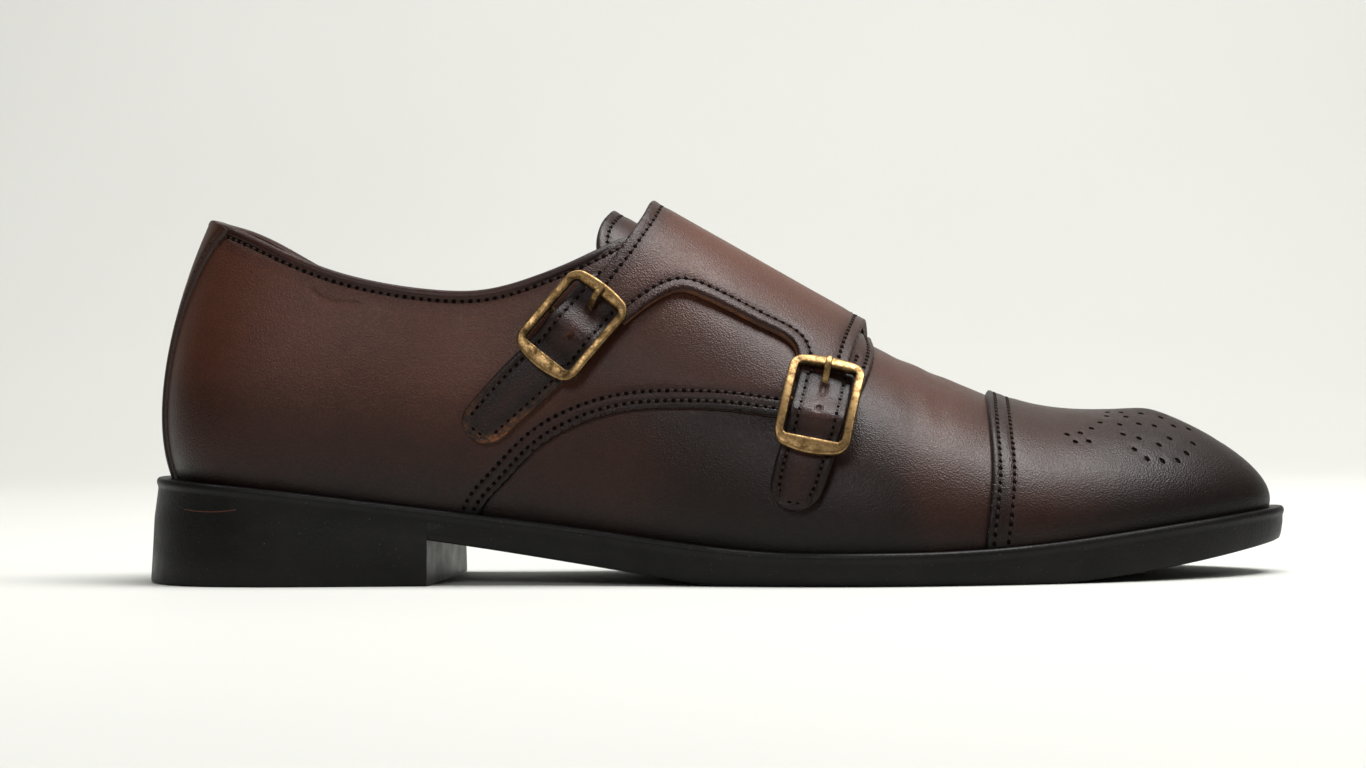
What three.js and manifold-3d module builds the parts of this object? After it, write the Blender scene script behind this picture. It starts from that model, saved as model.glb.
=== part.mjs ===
// A right double monk strap shoe, men's size 42, in millimetres.
// +X runs to the toe from the back of the sole, +Y is the inner (medial) side, +Z is up from the ground.
import * as THREE from 'three';
import { mergeVertices } from 'three/addons/utils/BufferGeometryUtils.js';
import Module from 'manifold-3d';

const wasm = await Module();
wasm.setup();

// Driving dimensions
const LENGTH = 300; // back of the sole to its toe
const GAP = 0.3; // between two pieces that meet
const SHELL = 1.6; // vamp leather and lining
const PANEL = 1.4; // a quarter, the toe cap
const STRAP = 2.0; // a strap, two layers sewn together
const FLAP = 2.5; // the flap over the instep
const TONGUE = 2.2;
const BACKSTAY = 1.2;
const INSOLE = 3.0;
const HEEL_POLE = 30; // the vertical axis that the heel's sections turn about
const HEEL_FAN = 60; // where the heel's sections end
const TOE_POLE = 263; // the vertical axis that the toe's sections turn about
const TOE_FAN = 226; // where the toe's sections begin
const LATERAL = -1;
const MEDIAL = 1;

const columns = (names, rows) =>
  Object.fromEntries(names.map((name, i) => [name, rows.map((row) => row[i])]));

// Half widths of the sole from its spine to each side
const OUTLINE = columns(['x', 'lateral', 'medial'], [
  [0, 0, 0],
  [4, 15.8, 15.8],
  [12, 25.8, 25.6],
  [22, 31.2, 30.8],
  [36, 34, 33],
  [60, 34.5, 32],
  [85, 34.5, 28.5],
  [105, 36, 26.5],
  [125, 39.5, 27.5],
  [145, 45, 31.5],
  [165, 50.5, 38],
  [185, 54.5, 43.5],
  [200, 55.5, 46.5],
  [215, 54.2, 48],
  [230, 51.5, 47],
  [245, 47, 44],
  [260, 41, 39.5],
  [272, 34.5, 34.5],
  [282, 27.5, 28],
  [290, 20, 20.5],
  [295.5, 13.5, 13.5],
  [300, 0, 0],
]);

// Height of the sole's upper face, where the upper stands on it
const SEAT = columns(['x', 'z'], [
  [0, 28.2],
  [30, 25.8],
  [60, 22.2],
  [90, 18.4],
  [120, 14.4],
  [145, 10.9],
  [165, 8.9],
  [190, 8.4],
  [215, 8.8],
  [240, 10.6],
  [265, 13.6],
  [300, 17.6],
]);

// Height of the last's ridge; above the topline it only closes the form
const RIDGE = columns(['x', 'z'], [
  [30, 113],
  [70, 113],
  [95, 111],
  [110, 107],
  [122, 101.6],
  [135, 94],
  [150, 85.2],
  [165, 76.4],
  [180, 67.7],
  [194, 60],
  [206, 54.3],
  [218, 49.2],
  [229, 44.8],
  [240, 42.3],
  [250, 41.6],
  [263, 41.9],
]);

// The shape of each half section: how far its foot stands in from the sole's edge, how high and
// how far the side bulges, and how broad the shoulder is on each side
const SECTION = columns(['t', 'inset', 'rise', 'bulgeL', 'bulgeM', 'shoulderL', 'shoulderM'], [
  [0, 7.0, 0.32, 11.0, 11.0, 0.31, 0.31],
  [30, 6.2, 0.32, 9.4, 9.4, 0.50, 0.50],
  [60, 5.3, 0.32, 8.2, 8.2, 0.69, 0.69],
  [90, 5.0, 0.33, 8.0, 9.0, 0.74, 0.76],
  [120, 5.0, 0.36, 7.0, 10.0, 0.74, 0.76],
  [150, 5.0, 0.42, 6.0, 8.0, 0.68, 0.70],
  [180, 4.4, 0.48, 4.5, 5.0, 0.60, 0.66],
  [205, 4.0, 0.50, 4.0, 4.0, 0.57, 0.63],
  [230, 4.4, 0.50, 3.5, 3.5, 0.55, 0.59],
  [255, 4.8, 0.48, 3.2, 3.2, 0.47, 0.49],
  [280, 5.2, 0.42, 3.6, 3.6, 0.28, 0.28],
  [300, 5.6, 0.39, 4.2, 4.2, 0.18, 0.18],
]);

// Natural cubic spline through a table's two columns
function spline(xs, ys) {
  const last = xs.length - 1;
  const bend = new Array(last + 1).fill(0);
  const carry = new Array(last + 1).fill(0);
  for (let i = 1; i < last; i += 1) {
    const before = xs[i] - xs[i - 1];
    const after = xs[i + 1] - xs[i];
    const turn = (ys[i + 1] - ys[i]) / after - (ys[i] - ys[i - 1]) / before;
    const pivot = 2 * (before + after) - before * carry[i - 1];
    carry[i] = after / pivot;
    bend[i] = (6 * turn - before * bend[i - 1]) / pivot;
  }
  for (let i = last - 1; i > 0; i -= 1) bend[i] -= carry[i] * bend[i + 1];
  return (value) => {
    const x = Math.min(Math.max(value, xs[0]), xs[last]);
    let i = 0;
    while (i < last - 1 && x > xs[i + 1]) i += 1;
    const h = xs[i + 1] - xs[i];
    const u = x - xs[i];
    const w = xs[i + 1] - x;
    const cubic = (bend[i] * w ** 3 + bend[i + 1] * u ** 3) / (6 * h);
    const left = (ys[i] / h - (bend[i] * h) / 6) * w;
    const right = (ys[i + 1] / h - (bend[i + 1] * h) / 6) * u;
    return cubic + left + right;
  };
}

const squared = (list) => list.map((value) => value ** 2);
const lateralSquared = spline(OUTLINE.x, squared(OUTLINE.lateral));
const medialSquared = spline(OUTLINE.x, squared(OUTLINE.medial));
const seat = spline(SEAT.x, SEAT.z);
const ridge = spline(RIDGE.x, RIDGE.z);

// The middle lines of heel and toe are mirrors, so that the form runs smoothly across them
function mirrored(list, near, far) {
  return [near(list[1]), ...list, far(list[list.length - 2])];
}
const same = (value) => value;
const sectionStations = mirrored(SECTION.t, (t) => -t, (t) => 2 * LENGTH - t);
const section = Object.fromEntries(
  Object.keys(SECTION).map((name) => [name, spline(sectionStations, mirrored(SECTION[name], same, same))]),
);
const ease = (value) => {
  const w = Math.min(Math.max(value, 0), 1);
  return w * w * (3 - 2 * w);
};

// The foot's line swings inwards from the heel to the ball
const SWING = 4;
const spine = (x) => SWING * ease((x - 80) / 150);

function halfWidth(side, x) {
  if (x <= 0 || x >= LENGTH) return 0;
  return Math.sqrt(Math.max((side < 0 ? lateralSquared : medialSquared)(x), 0));
}

// Station t of the sections: a fan at the heel, straight across in the middle, a fan at the toe
function station(t) {
  if (t < HEEL_FAN) {
    const w = t / HEEL_FAN;
    return { x: HEEL_POLE + (HEEL_FAN - HEEL_POLE) * w * w, turn: (Math.PI / 2) * (1 - (1 - w) ** 2) };
  }
  if (t > TOE_FAN) {
    const w = (t - TOE_FAN) / (LENGTH - TOE_FAN);
    return { x: TOE_FAN + (TOE_POLE - TOE_FAN) * w * (2 - w), turn: (Math.PI / 2) * (1 + w * w) };
  }
  return { x: t, turn: Math.PI / 2 };
}

// Ray of a section in the ground plan, and its length out to the sole's edge
function ray(side, t) {
  const { x, turn } = station(t);
  const y = spine(x);
  const dx = -Math.cos(turn);
  const dy = side * Math.sin(turn);
  let near = 0;
  let far = 130;
  for (let i = 0; i < 44; i += 1) {
    const r = (near + far) / 2;
    const px = x + dx * r;
    const inside = side * (y + dy * r - spine(px)) < halfWidth(side, px);
    if (inside) near = r;
    else far = r;
  }
  return { x, y, dx, dy, reach: near };
}

// One half section of the last as a cubic curve from its foot to the ridge
const ribs = new Map();
function rib(side, t) {
  const key = `${side} ${t}`;
  if (ribs.has(key)) return ribs.get(key);
  const line = ray(side, t);
  const foot = line.reach - section.inset(t);
  const zFoot = seat(line.x + line.dx * foot) + GAP;
  const zTop = ridge(line.x);
  const sloped = line.x > HEEL_POLE + 1 && line.x < TOE_POLE - 0.6;
  const slope = sloped ? ridge(line.x + 0.5) - ridge(line.x - 0.5) : 0;
  const bulge = (side < 0 ? section.bulgeL : section.bulgeM)(t);
  const shoulder = (side < 0 ? section.shoulderL : section.shoulderM)(t) * foot;
  const made = {
    ...line,
    slope,
    r: [foot, foot + bulge, shoulder, 0],
    z: [zFoot, zFoot + section.rise(t) * (zTop - zFoot), zTop + slope * line.dx * shoulder, zTop],
  };
  ribs.set(key, made);
  return made;
}

const bezier = (p, v) =>
  p[0] * (1 - v) ** 3 + 3 * p[1] * v * (1 - v) ** 2 + 3 * p[2] * v * v * (1 - v) + p[3] * v ** 3;

function lastPoint(side, t, v) {
  const half = rib(side, t);
  const r = bezier(half.r, v);
  return new THREE.Vector3(half.x + half.dx * r, half.y + half.dy * r, bezier(half.z, v));
}

// Outward direction of the last; level at the foot, so that every layer stands flat on the sole
function lastNormal(side, t, v) {
  if (v > 0.999) return new THREE.Vector3(-rib(side, t).slope, 0, 1).normalize();
  const along = Math.min(Math.max(t, 0.4), LENGTH - 0.4);
  const low = Math.max(v - 0.004, 0);
  const run = lastPoint(side, along + 0.3, v).sub(lastPoint(side, along - 0.3, v));
  const climb = lastPoint(side, along, v + 0.001).sub(lastPoint(side, along, low));
  const normal = run.cross(climb).multiplyScalar(-side);
  if (t < 0.01 || t > LENGTH - 0.01) normal.y = 0;
  if (v < 0.001) normal.z = 0;
  return normal.normalize();
}

// A place on a layer of leather; both sides share the middle line of the heel and of the toe
function skin(side, t, v, lift) {
  const half = t < 0.01 || t > LENGTH - 0.01 ? LATERAL : side;
  return lastPoint(half, t, v).addScaledVector(lastNormal(half, t, v), lift);
}

// The place on the middle of the last with a given x and z, seen from the side
function heightOn(side, x, z) {
  let low = 0;
  let high = 1;
  for (let i = 0; i < 40; i += 1) {
    const v = (low + high) / 2;
    if (lastPoint(side, x, v).z < z) low = v;
    else high = v;
  }
  return (low + high) / 2;
}
const onSide = (side, x, z, lift) => skin(side, x, heightOn(side, x, z), lift);

// Closed meshes and solids
function closedMesh(points, faces) {
  const geometry = new THREE.BufferGeometry();
  const flat = points.flatMap((p) => [p.x, p.y, p.z]);
  geometry.setAttribute('position', new THREE.Float32BufferAttribute(flat, 3));
  geometry.setIndex(faces);
  return geometry;
}

function solid(geometry) {
  const bare = geometry.clone();
  bare.deleteAttribute('normal');
  bare.deleteAttribute('uv');
  const merged = mergeVertices(bare, 0.001);
  const whole = [];
  for (let i = 0; i < merged.index.count; i += 3) {
    const [a, b, c] = [0, 1, 2].map((k) => merged.index.getX(i + k));
    if (a !== b && b !== c && c !== a) whole.push(a, b, c);
  }
  return new wasm.Manifold(new wasm.Mesh({
    numProp: 3,
    vertProperties: new Float32Array(merged.attributes.position.array),
    triVerts: new Uint32Array(whole),
  }));
}

function shape(body) {
  const mesh = body.getMesh();
  const geometry = new THREE.BufferGeometry();
  geometry.setAttribute('position', new THREE.BufferAttribute(mesh.vertProperties, 3));
  geometry.setIndex(new THREE.BufferAttribute(mesh.triVerts, 1));
  geometry.computeVertexNormals();
  return geometry;
}

const range = (count) => Array.from({ length: count + 1 }, (_, i) => i / count);
const spread = (from, to, count) => range(count).map((w) => from + (to - from) * w);
const quad = (faces, a, b, c, d) => faces.push(a, b, c, a, c, d);

// Every layer has its corners at the same stations and steps, so that their faces stay parallel
const STATIONS = [
  ...spread(0, HEEL_FAN, 10),
  ...spread(HEEL_FAN, TOE_FAN, 15).slice(1),
  ...spread(TOE_FAN, LENGTH, 11).slice(1),
];
const STEPS = range(11);

// A closed dome between two lifts of the last, open underneath
function dome(low, high) {
  const ts = STATIONS;
  const vs = STEPS;
  const points = [];
  const faces = [];
  const across = vs.length;
  for (const side of [LATERAL, MEDIAL]) {
    const outer = points.length;
    const inner = outer + ts.length * across;
    for (const lift of [high, low]) {
      for (const t of ts) {
        for (const v of vs) points.push(skin(side, t, v, lift(side, t, v)));
      }
    }
    const facing = (a, b, c, d) => (side < 0 ? quad(faces, a, b, c, d) : quad(faces, d, c, b, a));
    for (let i = 0; i < ts.length - 1; i += 1) {
      const o = outer + i * across;
      const n = inner + i * across;
      for (let j = 0; j < across - 1; j += 1) {
        facing(o + j, o + across + j, o + across + j + 1, o + j + 1);
        facing(n + across + j + 1, n + across + j, n + j, n + j + 1);
      }
      facing(o, n, n + across, o + across);
    }
  }
  return solid(closedMesh(points, faces));
}

// Prisms for cutting: the outline is seen along one axis and runs from one place to the other on it
const AXES = {
  side: [[1, 0, 0], [0, 0, 1], [0, -1, 0]],
  back: [[0, 1, 0], [0, 0, 1], [1, 0, 0]],
  plan: [[1, 0, 0], [0, 1, 0], [0, 0, 1]],
};
function prism(view, outline, from, to) {
  const flat = new THREE.Shape(outline.map(([a, b]) => new THREE.Vector2(a, b)));
  const block = new THREE.ExtrudeGeometry(flat, { depth: to - from, bevelEnabled: false, steps: 1 });
  const [right, up, out] = AXES[view].map((axis) => new THREE.Vector3(...axis));
  block.applyMatrix4(new THREE.Matrix4().makeBasis(right, up, out));
  const start = view === 'side' ? new THREE.Vector3(0, to, 0) : out.multiplyScalar(from);
  block.translate(start.x, start.y, start.z);
  return solid(block);
}
const smooth = (points, count) =>
  new THREE.SplineCurve(points.map(([a, b]) => new THREE.Vector2(a, b)))
    .getPoints(count)
    .map((p) => [p.x, p.y]);

// Everything above the topline, whose two sides differ a little
const TOPLINE = [
  [16, 96.4],
  [23, 94.3],
  [38, 87.8],
  [52, 82.1],
  [66, 78.4],
  [80, 76.3],
  [93, 76.2],
  [105, 79.2],
  [115, 83.1],
  [124, 87.6],
  [134, 93.2],
];
const INNER_TOPLINE_DROP = 1.5;
const BEHIND = -20;
const ABOVE = 140;
const WIDE = 90;
function aboveTopline(side) {
  const drop = side > 0 ? INNER_TOPLINE_DROP : 0;
  const line = smooth(TOPLINE.map(([x, z]) => [x, z - drop * ease((x - 20) / 30)]), 26);
  const outline = [[BEHIND, TOPLINE[0][1]], ...line, [134, ABOVE], [BEHIND, ABOVE]];
  return side < 0 ? prism('side', outline, -WIDE, 0) : prism('side', outline, 0, WIDE);
}
const collar = aboveTopline(LATERAL).add(aboveTopline(MEDIAL));

// The throat, a slot along the ridge under the flap
const THROAT_END = 178;
const THROAT_HALF = 9;
const throatFloor = 45;
const throat = prism('plan', [
  [118, -THROAT_HALF - 8],
  [134, -THROAT_HALF],
  [THROAT_END - 4, -THROAT_HALF + 2],
  [THROAT_END, 2],
  [THROAT_END - 4, THROAT_HALF + 2],
  [134, THROAT_HALF + 2],
  [118, THROAT_HALF + 9],
], throatFloor, ABOVE);

const still = (lift) => () => lift;

function makeUpper() {
  const wall = dome(still(-SHELL), still(0));
  return wall.subtract(collar).subtract(throat);
}

// Toe cap
const CAP_EDGE = [
  [222.3, 60],
  [223.2, 42],
  [223.7, 31],
  [223, 21],
  [221, 5],
];
function makeToeCap() {
  const skinLayer = dome(still(GAP), still(GAP + PANEL));
  const front = prism('side', [...CAP_EDGE, [320, 5], [320, 60]], -WIDE, WIDE);
  return skinLayer.intersect(front);
}

// Quarters: the outer one ends in a wing under the flap, the inner one runs on as the flap
const OUTER_QUARTER = [
  [90, 12],
  [92.5, 19.5],
  [98.3, 26],
  [106.7, 34.5],
  [117.2, 40.7],
  [130.1, 44.4],
  [145.4, 45.2],
  [158.1, 44.6],
  [170, 43],
  [180, 42.4],
  [187, 44],
  [190.5, 48.5],
  [192.8, 54],
  [193.8, 59],
  [192.6, 62.5],
  [189, 68],
];
const INNER_QUARTER = [
  [90, 12],
  [92.5, 19.5],
  [98.3, 26],
  [106.7, 34.5],
  [117.2, 40.5],
  [130.1, 43.4],
  [145.4, 43.6],
  [158.1, 42],
  [170, 40.6],
  [180, 42],
  [187, 47],
  [190, 54],
  [191, 62],
  [191, 70],
];
const FLAP_BACK_EDGE = [
  [135, 104],
  [134, 98],
  [132.2, 94],
  [127.5, 86.2],
  [123.6, 80.8],
  [121.2, 77],
];
const FLAP_LOWER_EDGE = [
  [129.8, 67.2],
  [135, 71.5],
  [140.6, 75.1],
  [144.8, 76.2],
  [149.4, 74.8],
  [157.2, 71.1],
  [165, 66.1],
  [171.4, 62.6],
  [174.5, 60],
  [176.1, 56.2],
  [176.2, 53.9],
];
const FLAP_FRONT_EDGE = [
  [187, 53.5],
  [188.1, 58.2],
  [189.6, 63.5],
  [190.7, 67.1],
  [191, 76],
];

function makeOuterQuarter() {
  const layer = dome(still(GAP), still(GAP + PANEL));
  const edge = smooth(OUTER_QUARTER, 36);
  const outline = [[BEHIND, 0], [90, 0], ...edge, [186, ABOVE], [BEHIND, ABOVE]];
  const half = prism('side', outline, -WIDE, -GAP / 2);
  return layer.intersect(half).subtract(collar).subtract(throat);
}

const OUTER_STACK = GAP + PANEL + GAP; // top of the outer quarter and a gap
const FLAP_CROWN = 0.9; // how much more the flap lifts over the ridge
const FLAP_ROOT = 0.55; // where the inner quarter starts to lift over the tongue and outer quarter
const instep = (t) => ease((t - 60) / 40) * (1 - ease((t - 210) / 40));
const flapLow = (side, t, v) => {
  const full = side < 0
    ? OUTER_STACK - GAP + FLAP_CROWN * ease((v - 0.6) / 0.4)
    : (OUTER_STACK - GAP + FLAP_CROWN) * ease((v - FLAP_ROOT) / (1 - FLAP_ROOT));
  return GAP + full * instep(t);
};
const flapHigh = (side, t, v) => {
  const root = side < 0 ? STRAP : PANEL;
  const full = ease((v - FLAP_ROOT) / (1 - FLAP_ROOT));
  return flapLow(side, t, v) + PANEL + (root - PANEL + (FLAP - root) * full) * instep(t);
};

// A buckle's place on its strap: where the strap leaves the flap, where it ends, and between them
const STRAPS = {
  rear: { start: [127.2, 77.6], buckle: [116.7, 65.3], end: [92.2, 36.4], half: 7.2, tip: 5, settle: 0 },
  front: { start: [182.9, 58], buckle: [179.8, 43.5], end: [174.6, 19], half: 6.9, tip: 4.6, settle: 1 },
};
const BUCKLE_LENGTH = 23.8;
const BUCKLE_WIDTH = 19.5;
const BAR = 2.4; // breadth of the frame's bars
const BAR_DEEP = 2.0; // and their depth
const PIN = 1.7; // thickness of the centre bar
const PIN_LIFT = 3.6; // height of the centre bar over the last
const FRAME_LIFT = OUTER_STACK + STRAP + 2 * GAP + BAR_DEEP / 2;
const HUMP = PIN_LIFT + PIN / 2 + GAP - OUTER_STACK; // how far the strap rises over the centre bar
const HUMP_LENGTH = 4.6;

// A buckle's seat on the last: its middle, its directions along the strap to the instep, across it
// and out, and the radius that the last bends with along the strap
function seatOf(strap) {
  const [x, z] = strap.buckle;
  const at = onSide(LATERAL, x, z, 0);
  const normal = lastNormal(LATERAL, x, heightOn(LATERAL, x, z));
  const heading = new THREE.Vector3(strap.start[0] - strap.end[0], 0, strap.start[1] - strap.end[1]);
  heading.y = -(heading.x * normal.x + heading.z * normal.z) / normal.y;
  heading.normalize();
  const reach = BUCKLE_LENGTH / 2;
  const [low, high] = [-reach, reach].map((a) => {
    const p = at.clone().addScaledVector(heading, a);
    return onSide(LATERAL, p.x, p.z, 0);
  });
  const along = high.clone().sub(low).normalize();
  const across = new THREE.Vector3().crossVectors(normal, along).normalize();
  const out = new THREE.Vector3().crossVectors(along, across);
  const drop = at.clone().sub(low.add(high).multiplyScalar(0.5)).dot(out);
  return { at, along, across, out, radius: reach ** 2 / (2 * drop) };
}

// A strap as a ribbon on the last, from inside the flap to its rounded end
function makeStrap(strap) {
  const seatFrame = seatOf(strap);
  const [x0, z0] = strap.start;
  const [x1, z1] = strap.end;
  const lengthFlat = Math.hypot(x1 - x0, z1 - z0);
  const buckleFlat = Math.hypot(strap.buckle[0] - x0, strap.buckle[1] - z0);
  const stretch = 1 / Math.hypot(seatFrame.along.x, seatFrame.along.z);
  const rows = [...spread(0, 0.94, 17), 0.965, 0.985, 1];
  const columnsAcross = [-1, -0.5, 0, 0.5, 1];
  const points = [];
  for (const upper of [true, false]) {
    for (const w of rows) {
      const fromBuckle = (buckleFlat - w * lengthFlat) * stretch;
      const fromEnd = (1 - w) * lengthFlat * stretch;
      const taper = ease((fromBuckle + 34) / 26);
      const width = strap.tip + (strap.half - strap.tip) * taper;
      const round = Math.sqrt(Math.max(1 - Math.max(1 - fromEnd / width, 0) ** 2, 0.06));
      const hump = HUMP * Math.exp(-((fromBuckle / HUMP_LENGTH) ** 2));
      const settle = -strap.settle * ease((-fromBuckle - BUCKLE_LENGTH / 2) / 14);
      const lift = OUTER_STACK + hump + settle + (upper ? STRAP : 0);
      for (const c of columnsAcross) {
        const b = c * width * round;
        const x = x0 + (x1 - x0) * w + seatFrame.across.x * b;
        const z = z0 + (z1 - z0) * w + seatFrame.across.z * b;
        points.push(onSide(LATERAL, x, z, lift));
      }
    }
  }
  const faces = [];
  const across = columnsAcross.length;
  const under = rows.length * across;
  const lastRow = rows.length - 1;
  for (let i = 0; i < lastRow; i += 1) {
    for (let j = 0; j < across - 1; j += 1) {
      const a = i * across + j;
      quad(faces, a, a + across, a + across + 1, a + 1);
      quad(faces, under + a + 1, under + a + across + 1, under + a + across, under + a);
    }
    const near = i * across;
    const far = near + across - 1;
    quad(faces, near, under + near, under + near + across, near + across);
    quad(faces, far + across, under + far + across, under + far, far);
  }
  for (let j = 0; j < across - 1; j += 1) {
    const end = lastRow * across + j;
    quad(faces, end, under + end, under + end + 1, end + 1);
    quad(faces, j + 1, under + j + 1, under + j, j);
  }
  const made = solid(closedMesh(points, faces));
  return made.volume() > 0 ? made : solid(closedMesh(points, faces.reverse()));
}

// Maps a buckle's own places (along, across, up from the last) into the shoe
function buckleMap(strap) {
  const { at, along, across, out, radius } = seatOf(strap);
  return (a, b, h) => {
    const turn = a / radius;
    return at.clone()
      .addScaledVector(along, (radius + h) * Math.sin(turn))
      .addScaledVector(across, b)
      .addScaledVector(out, (radius + h) * Math.cos(turn) - radius);
  };
}

// A closed or open bar swept along places in the buckle's own frame, with an oval section
function sweep(place, route, wide, deep, closed) {
  const sides = 6;
  const points = [];
  const count = route.length;
  route.forEach(([a, b, h], i) => {
    const before = route[closed ? (i + count - 1) % count : Math.max(i - 1, 0)];
    const after = route[closed ? (i + 1) % count : Math.min(i + 1, count - 1)];
    const run = new THREE.Vector2(after[0] - before[0], after[1] - before[1]).normalize();
    for (let k = 0; k < sides; k += 1) {
      const angle = (2 * Math.PI * (k + 0.5)) / sides;
      const out = (Math.cos(angle) * wide(i)) / 2;
      const up = (Math.sin(angle) * deep) / 2;
      points.push(place(a + run.y * out, b - run.x * out, h + up));
    }
  });
  const faces = [];
  const links = closed ? count : count - 1;
  for (let i = 0; i < links; i += 1) {
    const here = i * sides;
    const next = ((i + 1) % count) * sides;
    for (let k = 0; k < sides; k += 1) {
      const k1 = (k + 1) % sides;
      quad(faces, here + k, next + k, next + k1, here + k1);
    }
  }
  if (!closed) {
    const tail = (count - 1) * sides;
    for (let k = 1; k < sides - 1; k += 1) {
      faces.push(0, k, k + 1);
      faces.push(tail, tail + k + 1, tail + k);
    }
  }
  const made = solid(closedMesh(points, faces));
  return made.volume() > 0 ? made : solid(closedMesh(points, faces.reverse()));
}

// Frame: a rounded rectangle whose end bars bow out a little, with a bar across the middle.
// Grown, it is the room that the strap leaves for it.
function makeFrame(strap, grow) {
  const place = buckleMap(strap);
  const halfLength = (BUCKLE_LENGTH - BAR) / 2;
  const halfWidthInner = (BUCKLE_WIDTH - BAR) / 2;
  const corner = 3.2;
  const bow = 0.7;
  const route = [];
  const widths = [];
  for (const [sa, sb, from] of [[1, 1, 0], [-1, 1, 90], [-1, -1, 180], [1, -1, 270]]) {
    for (const w of range(4)) {
      const angle = ((from + 90 * w) * Math.PI) / 180;
      const a = sa * (halfLength - corner) + corner * Math.cos(angle);
      const b = sb * (halfWidthInner - corner) + corner * Math.sin(angle);
      route.push([a, b, FRAME_LIFT]);
      widths.push(BAR);
    }
    const onSideRail = sa === sb;
    if (onSideRail) {
      for (const w of [0.25, 0.5, 0.75]) {
        route.push([sa * (halfLength - corner) * (1 - 2 * w), sb * halfWidthInner, FRAME_LIFT]);
        widths.push(BAR);
      }
    } else {
      for (const w of [0.25, 0.5, 0.75]) {
        const out = 1 - (2 * w - 1) ** 2;
        const b = sb * (halfWidthInner - corner) * (1 - 2 * w);
        route.push([sa * (halfLength + bow * out), b, FRAME_LIFT]);
        widths.push(BAR + bow * out);
      }
    }
  }
  const loop = sweep(place, route, (i) => widths[i] + grow, BAR_DEEP + grow, true);
  const reach = halfWidthInner;
  const drop = [-1, -0.96, 0.96, 1].map((w) => [
    0,
    w * reach,
    Math.abs(w) === 1 ? FRAME_LIFT - 0.4 : PIN_LIFT,
  ]);
  const pin = sweep(place, drop, () => PIN + grow, PIN + grow, false);
  return loop.add(pin);
}

// Prong: hooked over the centre bar, up through the strap and on to the instep bar
const PRONG = 1.6;
function prongRoute() {
  const foot = PIN_LIFT + PIN / 2 + GAP + PRONG / 2;
  const overStrap = OUTER_STACK + HUMP + STRAP + GAP + PRONG / 2;
  const overBar = FRAME_LIFT + BAR_DEEP / 2 + GAP + PRONG / 2;
  const tip = (BUCKLE_LENGTH - BAR) / 2 + 1.6;
  return [
    [-0.6, 0, foot],
    [0.5, 0, foot + 0.4],
    [1.8, 0, overStrap - 0.3],
    [4, 0, overStrap],
    [8, 0, overBar],
    [tip, 0, overBar],
  ];
}
const makeProng = (strap) =>
  sweep(buckleMap(strap), prongRoute(), () => PRONG, PRONG, false);
function prongHole(strap) {
  const tool = PRONG + 2 * GAP + 0.4;
  const route = prongRoute().slice(0, 4).map(([a, b, h]) => [a, b, h]);
  route.unshift([-1.6, 0, route[0][2] - 0.2]);
  route.push([6, 0, route[route.length - 1][2] + 1]);
  return sweep(buckleMap(strap), route, () => tool, tool, false);
}

// Inner quarter, flap and both straps: one piece of leather
function makeInnerQuarter() {
  const layer = dome(flapLow, flapHigh);
  const edge = smooth(INNER_QUARTER, 34);
  const flapBack = smooth(FLAP_BACK_EDGE.slice(1), 8);
  const inner = [[BEHIND, 0], [90, 0], ...edge, [191, ABOVE], [BEHIND, ABOVE]];
  const outer = [
    [134.5, ABOVE],
    ...flapBack,
    ...smooth(FLAP_LOWER_EDGE, 18),
    ...smooth(FLAP_FRONT_EDGE, 5),
    [191, ABOVE],
  ];
  const innerHalf = prism('side', inner, GAP / 2, WIDE);
  const outerHalf = prism('side', outer, -WIDE, GAP);
  let piece = layer.intersect(innerHalf.subtract(collar).add(outerHalf));
  for (const strap of Object.values(STRAPS)) {
    piece = piece.add(makeStrap(strap))
      .subtract(prongHole(strap))
      .subtract(makeFrame(strap, 2 * GAP));
  }
  return piece;
}

// Backstay strip over the heel seam
function makeBackstay() {
  const low = OUTER_STACK;
  const layer = dome(still(low), still(low + BACKSTAY));
  const half = [
    [8.6, 20],
    [7.6, 40],
    [7.4, 60],
    [8.2, 76],
    [9.6, 90],
    [10.4, 97],
  ];
  const outline = [...half, ...half.map(([y, z]) => [-y, z]).reverse()];
  return layer.intersect(prism('back', outline, BEHIND, HEEL_FAN)).subtract(collar);
}

// Tongue, under the quarters from the throat to above the flap
const TONGUE_LIFT = -SHELL - 2 * GAP - TONGUE;
function makeTongue() {
  const layer = dome(still(TONGUE_LIFT), still(TONGUE_LIFT + TONGUE));
  const outline = smooth([
    [188, -8],
    [170, -16],
    [150, -20],
    [132, -23],
    [123.5, -22],
    [121.8, -17],
    [124, -8],
    [125, 1],
    [124, 10],
    [121.8, 19],
    [123.5, 24],
    [132, 26],
    [150, 24],
    [170, 21],
    [188, 14],
  ], 36);
  return layer.intersect(prism('plan', outline, throatFloor, ABOVE));
}

// A flat loft on the plan of the sole: rows of inset from the sole's edge and height
function slab(rows, ts) {
  const points = [];
  const faces = [];
  const across = rows.length;
  for (const side of [LATERAL, MEDIAL]) {
    const first = points.length;
    for (const t of ts) {
      const line = ray(side, t);
      for (const row of rows) {
        const r = Math.max(line.reach - row.inset(line.x + line.dx * line.reach), 0);
        const x = line.x + line.dx * r;
        points.push(new THREE.Vector3(x, line.y + line.dy * r, row.height(x)));
      }
    }
    for (let i = 0; i < ts.length - 1; i += 1) {
      for (let j = 0; j < across - 1; j += 1) {
        const a = first + i * across + j;
        const corners = [a, a + across, a + across + 1, a + 1];
        quad(faces, ...(side < 0 ? corners : corners.reverse()));
      }
    }
  }
  return solid(closedMesh(points, faces));
}

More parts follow.
